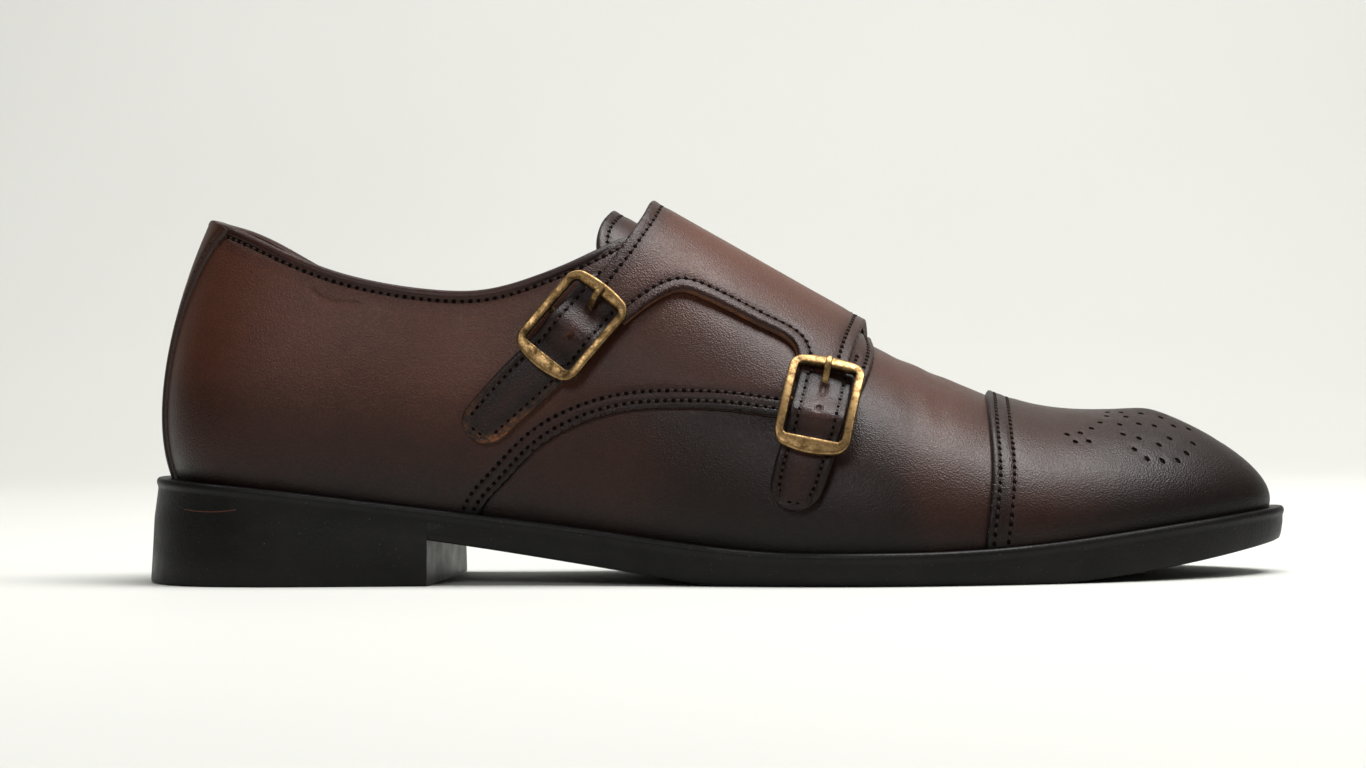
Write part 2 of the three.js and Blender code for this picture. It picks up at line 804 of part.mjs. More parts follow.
// Underside of the sole: it rises from the ball to the heel breast and again to the toe
const BALL_BACK = 152;
const BALL_FRONT = 240;
const WAIST_SLOPE = 0.16;
const TOE_SPRING = 8.7;
function underside(x) {
  if (x < BALL_BACK) return Math.min(WAIST_SLOPE * (BALL_BACK - x), seat(x) - 8);
  if (x < BALL_FRONT) return 0;
  return TOE_SPRING * ((x - BALL_FRONT) / (LENGTH - 2 - BALL_FRONT)) ** 1.35;
}

const soleStations = () => [
  ...spread(0, HEEL_FAN, 12),
  ...spread(HEEL_FAN, TOE_FAN, 21).slice(1),
  ...spread(TOE_FAN, LENGTH, 14).slice(1),
];
const centre = 200; // any inset past the middle
const BREAST = 78.4;
const HEEL_FLARE = 1.9;

const WALL_DRAFT = 0.9;
const wallDraft = (x) => WALL_DRAFT * (1 - 1.5 * ease((98 - x) / 20));

function makeSole() {
  const body = slab([
    { inset: () => centre, height: underside },
    { inset: (x) => wallDraft(x) + 1.2, height: underside },
    { inset: wallDraft, height: (x) => underside(x) + 1.1 },
    { inset: () => 0, height: (x) => seat(x) - 2.4 },
    { inset: () => 0.2, height: (x) => seat(x) - 0.5 },
    { inset: () => 0.8, height: seat },
    { inset: () => centre, height: seat },
  ], soleStations());
  const under = (x) => seat(x) - 6;
  const heel = slab([
    { inset: () => centre, height: () => 0 },
    { inset: () => -HEEL_FLARE + 1.5, height: () => 0 },
    { inset: () => -HEEL_FLARE, height: () => 1.5 },
    { inset: () => -WALL_DRAFT / 3, height: under },
    { inset: () => centre, height: under },
  ], soleStations());
  const back = prism('side', [[BEHIND, -5], [BREAST, -5], [BREAST, 40], [BEHIND, 40]], -WIDE, WIDE);
  return body.add(heel.intersect(back));
}

// Insole, laid on the sole inside the upper
function makeInsole() {
  const inset = (x) => section.inset(x) + SHELL + 1.2;
  return slab([
    { inset: () => centre, height: (x) => seat(x) + GAP },
    { inset, height: (x) => seat(x) + GAP },
    { inset: (x) => inset(x) - 0.1, height: (x) => seat(x) + GAP + INSOLE },
    { inset: () => centre, height: (x) => seat(x) + GAP + INSOLE },
  ], [...spread(0, HEEL_FAN, 7), ...spread(HEEL_FAN, TOE_FAN, 10).slice(1), ...spread(TOE_FAN, LENGTH, 8).slice(1)]);
}

// Materials
const leather = (color) => new THREE.MeshStandardMaterial({ color, roughness: 0.42, metalness: 0 });
const MATERIALS = {
  brown: leather(0x4a2c22),
  darkBrown: leather(0x33201a),
  tan: leather(0x6b3d28),
  lining: leather(0x8a6a4c),
  rubber: new THREE.MeshStandardMaterial({ color: 0x1b1a1a, roughness: 0.55, metalness: 0 }),
  brass: new THREE.MeshStandardMaterial({ color: 0x9c7a3c, roughness: 0.35, metalness: 1 }),
};

const shoe = new THREE.Group();
function add(name, body, material) {
  const mesh = new THREE.Mesh(shape(body), material);
  mesh.name = name;
  shoe.add(mesh);
}
add('sole_and_heel', makeSole(), MATERIALS.rubber);
add('insole', makeInsole(), MATERIALS.lining);
add('upper', makeUpper(), MATERIALS.brown);
add('tongue', makeTongue(), MATERIALS.darkBrown);
add('toe_cap', makeToeCap(), MATERIALS.darkBrown);
add('outer_quarter', makeOuterQuarter(), MATERIALS.brown);
add('inner_quarter_and_straps', makeInnerQuarter(), MATERIALS.tan);
add('backstay', makeBackstay(), MATERIALS.darkBrown);
for (const [name, strap] of Object.entries(STRAPS)) {
  add(`${name}_buckle_frame`, makeFrame(strap, 0), MATERIALS.brass);
  add(`${name}_buckle_prong`, makeProng(strap), MATERIALS.brass);
}

// The origin is under the middle of the whole shoe, on the ground
const box = new THREE.Box3().setFromObject(shoe);
const middle = box.getCenter(new THREE.Vector3());
shoe.position.set(-middle.x, -middle.y, -box.min.z);

export default shoe;
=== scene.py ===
"""A right double monk strap shoe, dressed in leather, thread, rubber and brass.

Lengths are in millimetres in the shoe's own frame: +X runs to the toe from the back of the sole,
+Y is the inner (medial) side and +Z is up. shoe_mesh() turns them into metres in the row frame.
"""
import math

import bpy
import numpy as np
from mathutils import Matrix, Vector
from mathutils.geometry import delaunay_2d_cdt
from mathutils.kdtree import KDTree


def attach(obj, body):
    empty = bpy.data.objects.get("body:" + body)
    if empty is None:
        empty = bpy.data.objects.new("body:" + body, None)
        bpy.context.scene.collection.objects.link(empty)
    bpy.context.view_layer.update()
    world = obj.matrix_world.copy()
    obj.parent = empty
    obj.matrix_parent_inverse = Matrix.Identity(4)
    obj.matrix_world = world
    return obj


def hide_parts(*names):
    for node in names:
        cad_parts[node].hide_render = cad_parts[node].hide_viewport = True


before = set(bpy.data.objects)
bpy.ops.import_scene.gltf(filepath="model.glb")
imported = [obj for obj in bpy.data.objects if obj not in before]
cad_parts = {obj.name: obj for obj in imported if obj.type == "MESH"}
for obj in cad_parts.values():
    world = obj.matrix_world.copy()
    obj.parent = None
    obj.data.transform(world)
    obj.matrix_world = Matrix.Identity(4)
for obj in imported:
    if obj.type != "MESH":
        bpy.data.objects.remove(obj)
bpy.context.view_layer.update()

# ---------------------------------------------------------------------------------------------
# The last: the same driving dimensions and tables as the CAD source
# ---------------------------------------------------------------------------------------------
LENGTH = 300.0
GAP = 0.3
SHELL = 1.6
PANEL = 1.4
STRAP = 2.0
FLAP = 2.5
TONGUE = 2.2
BACKSTAY = 1.2
INSOLE = 3.0
FOOT_STEP = 0.001
FOOT_TUCK = 0.9
FAR_FROM_EDGE = 50.0
PUCKER_DEPTH = 0.12
PUCKER_WIDTH = 1.7
PUNCH_DRAG = 0.10
PUNCH_DRAG_WIDTH = 0.25
CREASE_SHOULDER = 0.45
HEEL_POLE = 30.0
HEEL_FAN = 60.0
TOE_POLE = 263.0
TOE_FAN = 226.0
LATERAL = -1.0
MEDIAL = 1.0
SWING = 4.0
SHIFT = np.array([-149.05, 0.018, 0.0])
MM = 0.001

OUTLINE = np.array([
    [0, 0, 0], [4, 15.8, 15.8], [12, 25.8, 25.6], [22, 31.2, 30.8], [36, 34, 33],
    [60, 34.5, 32], [85, 34.5, 28.5], [105, 36, 26.5], [125, 39.5, 27.5], [145, 45, 31.5],
    [165, 50.5, 38], [185, 54.5, 43.5], [200, 55.5, 46.5], [215, 54.2, 48], [230, 51.5, 47],
    [245, 47, 44], [260, 41, 39.5], [272, 34.5, 34.5], [282, 27.5, 28], [290, 20, 20.5],
    [295.5, 13.5, 13.5], [300, 0, 0],
], float)

SEAT = np.array([
    [0, 28.2], [30, 25.8], [60, 22.2], [90, 18.4], [120, 14.4], [145, 10.9],
    [165, 8.9], [190, 8.4], [215, 8.8], [240, 10.6], [265, 13.6], [300, 17.6],
], float)

RIDGE = np.array([
    [30, 113], [70, 113], [95, 111], [110, 107], [122, 101.6], [135, 94], [150, 85.2],
    [165, 76.4], [180, 67.7], [194, 60], [206, 54.3], [218, 49.2], [229, 44.8],
    [240, 42.3], [250, 41.6], [263, 41.9],
], float)

# Columns: station, inset, rise, bulge lateral and medial, shoulder lateral and medial
SECTION = np.array([
    [0, 7.0, 0.32, 11.0, 11.0, 0.31, 0.31],
    [30, 6.2, 0.32, 9.4, 9.4, 0.50, 0.50],
    [60, 5.3, 0.32, 8.2, 8.2, 0.69, 0.69],
    [90, 5.0, 0.33, 8.0, 9.0, 0.74, 0.76],
    [120, 5.0, 0.36, 7.0, 10.0, 0.74, 0.76],
    [150, 5.0, 0.42, 6.0, 8.0, 0.68, 0.70],
    [180, 4.4, 0.48, 4.5, 5.0, 0.60, 0.66],
    [205, 4.0, 0.50, 4.0, 4.0, 0.57, 0.63],
    [230, 4.4, 0.50, 3.5, 3.5, 0.55, 0.59],
    [255, 4.8, 0.48, 3.2, 3.2, 0.47, 0.49],
    [280, 5.2, 0.42, 3.6, 3.6, 0.28, 0.28],
    [300, 5.6, 0.39, 4.2, 4.2, 0.18, 0.18],
], float)


def spline(xs, ys):
    """Natural cubic spline through a table's two columns."""
    xs = np.asarray(xs, float)
    ys = np.asarray(ys, float)
    count = len(xs)
    step = np.diff(xs)
    system = np.eye(count)
    turn = np.zeros(count)
    for i in range(1, count - 1):
        system[i, i - 1:i + 2] = step[i - 1], 2 * (step[i - 1] + step[i]), step[i]
        turn[i] = 6 * ((ys[i + 1] - ys[i]) / step[i] - (ys[i] - ys[i - 1]) / step[i - 1])
    bend = np.linalg.solve(system, turn)

    def value(at):
        x = np.clip(at, xs[0], xs[-1])
        i = np.clip(np.searchsorted(xs, x, side="right") - 1, 0, count - 2)
        h = step[i]
        u = x - xs[i]
        w = xs[i + 1] - x
        cubic = (bend[i] * w**3 + bend[i + 1] * u**3) / (6 * h)
        return cubic + (ys[i] / h - bend[i] * h / 6) * w + (ys[i + 1] / h - bend[i + 1] * h / 6) * u

    return value


def ease(value):
    w = np.clip(value, 0.0, 1.0)
    return w * w * (3 - 2 * w)


lateral_squared = spline(OUTLINE[:, 0], OUTLINE[:, 1]**2)
medial_squared = spline(OUTLINE[:, 0], OUTLINE[:, 2]**2)
seat = spline(SEAT[:, 0], SEAT[:, 1])
ridge = spline(RIDGE[:, 0], RIDGE[:, 1])
mirrored_rows = np.vstack([SECTION[1], SECTION, SECTION[-2]])
mirrored_rows[0, 0] = -SECTION[1, 0]
mirrored_rows[-1, 0] = 2 * LENGTH - SECTION[-2, 0]
section_splines = [spline(mirrored_rows[:, 0], mirrored_rows[:, k]) for k in range(1, 7)]
inset_of, rise_of, bulge_lateral, bulge_medial, shoulder_lateral, shoulder_medial = section_splines


def spine(x):
    return SWING * ease((x - 80) / 150)


def half_width(side, x):
    squared = np.where(side < 0, lateral_squared(x), medial_squared(x))
    return np.sqrt(np.maximum(squared, 0)) * ((x > 0) & (x < LENGTH))


def station(t):
    """Place and turn of section t: a fan at the heel, straight across, a fan at the toe."""
    heel = np.clip(t / HEEL_FAN, 0, 1)
    toe = np.clip((t - TOE_FAN) / (LENGTH - TOE_FAN), 0, 1)
    x = np.where(t < HEEL_FAN, HEEL_POLE + (HEEL_FAN - HEEL_POLE) * heel**2, t)
    x = np.where(t > TOE_FAN, TOE_FAN + (TOE_POLE - TOE_FAN) * toe * (2 - toe), x)
    turn = np.where(t < HEEL_FAN, 1 - (1 - heel)**2, 1 + toe**2) * math.pi / 2
    return x, turn


def ray(side, t):
    """A section's middle, its direction in the ground plan, and its length to the sole's edge."""
    x, turn = station(t)
    y = spine(x)
    dx = -np.cos(turn)
    dy = side * np.sin(turn)
    near = np.zeros_like(x)
    far = np.full_like(x, 130.0)
    for _ in range(44):
        r = (near + far) / 2
        px = x + dx * r
        inside = side * (y + dy * r - spine(px)) < half_width(side, px)
        near = np.where(inside, r, near)
        far = np.where(inside, far, r)
    return x, y, dx, dy, near


# Every rib of the last, worked out once for each side at close stations
RIB_STEP = 0.1
rib_stations = np.arange(0, LENGTH + RIB_STEP / 2, RIB_STEP)


def rib_table(side):
    t = rib_stations
    x, y, dx, dy, reach = ray(np.full_like(t, side), t)
    foot = reach - inset_of(t)
    z_foot = seat(x + dx * foot) + GAP
    z_top = ridge(x)
    sloped = (x > HEEL_POLE + 1) & (x < TOE_POLE - 0.6)
    slope = np.where(sloped, ridge(x + 0.5) - ridge(x - 0.5), 0)
    bulge = (bulge_lateral if side < 0 else bulge_medial)(t)
    shoulder = (shoulder_lateral if side < 0 else shoulder_medial)(t) * foot
    z_side = z_foot + rise_of(t) * (z_top - z_foot)
    z_shoulder = z_top + slope * dx * shoulder
    return np.stack([x, y, dx, dy, foot, foot + bulge, shoulder,
                     z_foot, z_side, z_shoulder, z_top, slope, reach])


RIBS = {LATERAL: rib_table(LATERAL), MEDIAL: rib_table(MEDIAL)}


def rib(side, t):
    place = np.clip(t / RIB_STEP, 0, len(rib_stations) - 1.001)
    i = place.astype(int)
    w = place - i
    lateral = RIBS[LATERAL][:, i] * (1 - w) + RIBS[LATERAL][:, i + 1] * w
    medial = RIBS[MEDIAL][:, i] * (1 - w) + RIBS[MEDIAL][:, i + 1] * w
    return np.where(side < 0, lateral, medial)


def last_point(side, t, v):
    x, y, dx, dy, r0, r1, r2, z0, z1, z2, z3, _, _ = rib(side, t)
    u = 1 - v
    r = r0 * u**3 + 3 * r1 * v * u**2 + 3 * r2 * v**2 * u
    z = z0 * u**3 + 3 * z1 * v * u**2 + 3 * z2 * v**2 * u + z3 * v**3
    return np.stack([x + dx * r, y + dy * r, z], -1)


def last_normal(side, t, v):
    """Outward direction of the last; level at the foot, so that layers stand flat on the sole."""
    along = np.clip(t, 0.4, LENGTH - 0.4)
    up = np.minimum(v, 0.992)
    run = last_point(side, along + 0.3, up) - last_point(side, along - 0.3, up)
    climb = last_point(side, along, up + 0.002) - last_point(side, along, np.maximum(up - 0.004, 0))
    normal = np.cross(run, climb) * -side[..., None]
    on_middle = (t < 0.01) | (t > LENGTH - 0.01)
    normal[..., 1] = np.where(on_middle, 0, normal[..., 1])
    normal[..., 2] = np.where(v < FOOT_STEP, 0, normal[..., 2])
    slope = rib(side, t)[11]
    top = np.stack([-slope, 0 * slope, np.ones_like(slope)], -1)
    normal = np.where((v > 0.992)[..., None], top, normal)
    return normal / np.linalg.norm(normal, axis=-1, keepdims=True)


def skin(side, t, v, lift):
    """Places on a layer of leather that lies this far off the last."""
    side, t, v, lift = np.broadcast_arrays(side, t, v, lift)
    side = np.where((t < 0.01) | (t > LENGTH - 0.01), LATERAL, side).astype(float)
    t = t.astype(float)
    v = v.astype(float)
    return last_point(side, t, v) + last_normal(side, t, v) * lift[..., None]


def climb_to(side, t, height, lift):
    """Step v of each section at which the layer reaches a height, which may depend on its x."""
    low = np.zeros_like(t)
    high = np.ones_like(t)
    for _ in range(30):
        v = (low + high) / 2
        p = skin(side, t, v, lift(side, t, v))
        below = p[:, 2] < height(p[:, 0])
        low = np.where(below, v, low)
        high = np.where(below, high, v)
    return (low + high) / 2


def on_side(side, points, lift):
    """Places (side, t, v) of points given by x and z as seen from the side."""
    points = np.asarray(points, float)
    x = points[:, 0]
    z = points[:, 1]
    sides = np.full_like(x, side)
    t = x.copy()
    for _ in range(6):
        v = climb_to(sides, t, lambda _: z, lift)
        t = t + (x - skin(sides, t, v, lift(sides, t, v))[:, 0]) * 0.8
    return np.stack([sides, t, v], -1)


def on_plan(points):
    """Places (side, t, v) of points given by x and y as seen from above, on the last's upper part."""
    points = np.asarray(points, float)
    x = points[:, 0]
    y = points[:, 1]
    side = np.where(y < spine(np.minimum(x, TOE_POLE)), LATERAL, MEDIAL)
    low = np.full_like(x, HEEL_FAN)
    high = np.full_like(x, LENGTH)
    for _ in range(34):
        t = (low + high) / 2
        mx, my, dx, dy = rib(side, t)[:4]
        ahead = side * ((x - mx) * dy - (y - my) * dx) > 0
        low = np.where(ahead, t, low)
        high = np.where(ahead, high, t)
    t = (low + high) / 2
    mx, my = rib(side, t)[:2]
    reach = np.hypot(x - mx, y - my)
    low = np.full_like(x, 0.25)
    high = np.ones_like(x)
    for _ in range(30):
        v = (low + high) / 2
        p = last_point(side, t, v)
        outside = np.hypot(p[:, 0] - mx, p[:, 1] - my) > reach
        low = np.where(outside, v, low)
        high = np.where(outside, high, v)
    return np.stack([side, t, (low + high) / 2], -1)


# ---------------------------------------------------------------------------------------------
# Flat charts of the last, on which panels are cut out
# ---------------------------------------------------------------------------------------------
chart_stations = np.linspace(0, LENGTH, 601)
sample_steps = np.linspace(0, 1, 41)
chart_sides = np.full_like(chart_stations, LATERAL)
girth_line = last_point(chart_sides, chart_stations, np.full_like(chart_stations, 0.4))
girths = np.concatenate([[0], np.cumsum(np.linalg.norm(np.diff(girth_line, axis=0), axis=1))])
rib_lines = np.stack([last_point(chart_sides, chart_stations, np.full_like(chart_stations, v))
                      for v in sample_steps])
rib_lengths = np.linalg.norm(np.diff(rib_lines, axis=0), axis=2).sum(0)


def side_chart(place):
    """Unrolled over the ridge: along the shoe, and across it from the ridge to each side."""
    side, t, v = place.T
    across = side * (1 - v) * np.interp(t, chart_stations, rib_lengths)
    return np.stack([np.interp(t, chart_stations, girths), across], -1)


def toe_chart(place):
    """Opened out like a fan round the toe."""
    side, t, v = place.T
    x, y, dx, dy = rib(side, t)[:4]
    r = (1 - v) * np.interp(t, chart_stations, rib_lengths)
    return np.stack([x + dx * r, y + dy * r], -1)


def signed(place):
    """Places as (t, s), where s crosses the ridge at 0."""
    return np.stack([place[:, 1], place[:, 0] * (1 - place[:, 2])], -1)


def unsigned(flat):
    side = np.where(flat[:, 1] < 0, LATERAL, MEDIAL)
    t = np.clip(flat[:, 0], 0, LENGTH)
    return np.stack([side, t, 1 - np.minimum(np.abs(flat[:, 1]), 1)], -1)


def on_last(place, lift=0.0):
    return skin(place[:, 0], place[:, 1], place[:, 2], lift)


def resample(place, pitch):
    """The same line with its places at an even distance, near the pitch."""
    flat = signed(place)
    points = on_last(place)
    run = np.concatenate([[0], np.cumsum(np.linalg.norm(np.diff(points, axis=0), axis=1))])
    count = max(int(round(run[-1] / pitch)), 1)
    even = np.linspace(0, run[-1], count + 1)
    return unsigned(np.stack([np.interp(even, run, flat[:, 0]), np.interp(even, run, flat[:, 1])], -1))


def moved_in(place, distance, left):
    """A line moved sideways on the last by a distance, to its left or its right in the chart."""
    flat = signed(place)
    step = 0.02
    here = on_last(place)
    base = unsigned(flat)
    ahead = unsigned(flat + [step, 0])
    rise = np.where(flat[:, 1:] > 0, -step, step) / 50
    over = unsigned(flat + np.hstack([0 * rise, rise]))
    along_t = (on_last(ahead) - on_last(base)) / step
    along_s = (on_last(over) - on_last(base)) / rise
    run = np.gradient(here, axis=0)
    run /= np.maximum(np.linalg.norm(run, axis=1, keepdims=True), 1e-9)
    normal = np.cross(along_t, along_s)
    normal /= np.maximum(np.linalg.norm(normal, axis=1, keepdims=True), 1e-9)
    aside = np.cross(normal, run) * (1 if left else -1)
    tt = (along_t**2).sum(1)
    ss = (along_s**2).sum(1)
    ts = (along_t * along_s).sum(1)
    bt = (along_t * aside).sum(1)
    bs = (along_s * aside).sum(1)
    det = np.maximum(tt * ss - ts**2, 1e-9)
    move = np.stack([(ss * bt - ts * bs) / det, (tt * bs - ts * bt) / det], -1)
    return unsigned(flat + move * distance)


def smooth_line(points, count):
    """Centripetal curve through points, as a maker's pattern edge."""
    points = np.asarray(points, float)
    run = np.concatenate([[0], np.cumsum(np.linalg.norm(np.diff(points, axis=0), axis=1)**0.5)])
    at = np.linspace(0, run[-1], count)
    return np.stack([spline(run, points[:, 0])(at), spline(run, points[:, 1])(at)], -1)


# ---------------------------------------------------------------------------------------------
# Meshes
# ---------------------------------------------------------------------------------------------
def shoe_mesh(name, points, faces, material_numbers=None, materials=(), attributes=None, sharp=40):
    """A finished object from points in the shoe's frame, with its place in its mesh."""
    mesh = bpy.data.meshes.new(name)
    places = (np.asarray(points, float) + SHIFT) * MM
    mesh.from_pydata(places.tolist(), [], [list(map(int, face)) for face in faces])
    for material in materials:
        mesh.materials.append(material)
    if material_numbers is not None:
        mesh.polygons.foreach_set("material_index", np.asarray(material_numbers, np.int32))
    for key, values in (attributes or {}).items():
        layer = mesh.attributes.new(key, "FLOAT", "POINT")
        layer.data.foreach_set("value", np.asarray(values, np.float32))
    turn_outwards(mesh, points)
    mesh.polygons.foreach_set("use_smooth", np.ones(len(mesh.polygons), bool))
    mesh.set_sharp_from_angle(angle=math.radians(sharp))
    mesh.update()
    piece = bpy.data.objects.new(name, mesh)
    bpy.context.scene.collection.objects.link(piece)
    return piece


def turn_outwards(mesh, points):
    """Turns a closed piece's faces outwards, after its signed volume."""
    mesh.calc_loop_triangles()
    corners = np.empty(len(mesh.loop_triangles) * 3, np.int32)
    mesh.loop_triangles.foreach_get("vertices", corners)
    a, b, c = np.asarray(points, float)[corners.reshape(-1, 3).T]
    if (np.cross(a, b) * c).sum() < 0:
        mesh.flip_normals()


def closed_layer(name, top, under, faces, materials, fields, sharp=40):
    """A closed sheet from its upper faces: an under layer and walls round every open edge."""
    keys = np.round(top / 0.004).astype(np.int64)
    _, first, back = np.unique(keys, axis=0, return_index=True, return_inverse=True)
    faces = first[np.asarray(back).ravel()[np.asarray(faces)]]
    a, b, c = faces[:, 0], faces[:, 1], faces[:, 2]
    faces = faces[(a != b) & (b != c) & (c != a)]
    used, renumbered = np.unique(faces, return_inverse=True)
    faces = renumbered.reshape(faces.shape)
    top = top[used]
    under = under[used]
    count = len(used)
    directed = np.vstack([faces[:, [0, 1]], faces[:, [1, 2]], faces[:, [2, 0]]])
    codes = directed[:, 0] * count + directed[:, 1]
    opposite = directed[:, 1] * count + directed[:, 0]
    open_edges = directed[~np.isin(codes, opposite)]
    walls = [(b, a, count + a, count + b) for a, b in open_edges]
    all_faces = faces.tolist() + (faces[:, ::-1] + count).tolist() + walls
    wall_number = 1 if len(materials) > 1 else 0
    numbers = [0] * len(faces) + [wall_number] * (len(faces) + len(walls))
    doubled = {key: np.concatenate([values[used], values[used]]) for key, values in fields.items()}
    return shoe_mesh(name, np.vstack([top, under]), all_faces, numbers, materials, doubled, sharp)


def grid_faces(rows, columns):
    """Triangles of a grid whose rows run on and whose columns run across, seen from above."""
    i, j = np.meshgrid(np.arange(rows - 1), np.arange(columns - 1), indexing="ij")
    a = (i * columns + j).ravel()
    b = a + columns
    return np.vstack([np.stack([a, b, b + 1], -1), np.stack([a, b + 1, a + 1], -1)])


def put_on(piece, slot_name, *nodes):
    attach(piece, "root")
    if nodes:
        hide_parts(*nodes)
    return piece


def inside(points, loop):
    """Even-odd test of flat points against a closed flat loop."""
    x = points[:, 0]
    y = points[:, 1]
    hit = np.zeros(len(points), bool)
    for (ax, ay), (bx, by) in zip(loop, np.roll(loop, -1, axis=0)):
        if ay == by:
            continue
        crosses = (ay > y) != (by > y)
        hit ^= crosses & (x < (bx - ax) * (y - ay) / (by - ay) + ax)
    return hit


def nearest(points, targets):
    """Distance of each point to the nearest target, and which target that is."""
    tree = KDTree(len(targets))
    for i, target in enumerate(targets):
        tree.insert(target, i)
    tree.balance()
    found = [tree.find(point)[1:] for point in points]
    return np.array([d for _, d in found]), np.array([i for i, _ in found])


def scatter(chart, loop_flat, t_range, s_range, spacing):
    """Even places inside a loop: the best of many for each cell of a staggered grid."""
    t = np.arange(t_range[0], t_range[1], spacing * 0.3)
    s = np.arange(s_range[0], s_range[1], spacing * 0.3 / 70)
    tt, ss = np.meshgrid(t, s, indexing="ij")
    place = unsigned(np.stack([tt.ravel(), ss.ravel()], -1))
    flat = chart(place)
    row = np.floor(flat[:, 1] / (spacing * 0.87)).astype(int)
    offset = (row % 2) * 0.5
    column = np.floor(flat[:, 0] / spacing - offset).astype(int)
    centre = np.stack([(column + offset + 0.5) * spacing, (row + 0.5) * spacing * 0.87], -1)
    miss = np.linalg.norm(flat - centre, axis=1)
    order = np.argsort(miss)
    cells = row[order].astype(np.int64) * 100000 + column[order]
    _, first = np.unique(cells, return_index=True)
    chosen = order[first]
    chosen = chosen[miss[chosen] < spacing * 0.4]
    chosen = chosen[inside(flat[chosen], loop_flat)]
    return place[chosen]


EDGE_STEPS = (0.22, 0.55, 1.0, 1.6)
STITCH_PITCH = 2.15
GROOVE = 0.26
GROOVE_WIDTH = 0.55


def edge_radius_profile(distance, radius):
    """How far a rounded edge drops at a distance in from its end."""
    w = np.clip(1 - distance / radius, 0, 1)
    return 1 - np.sqrt(1 - w**2)


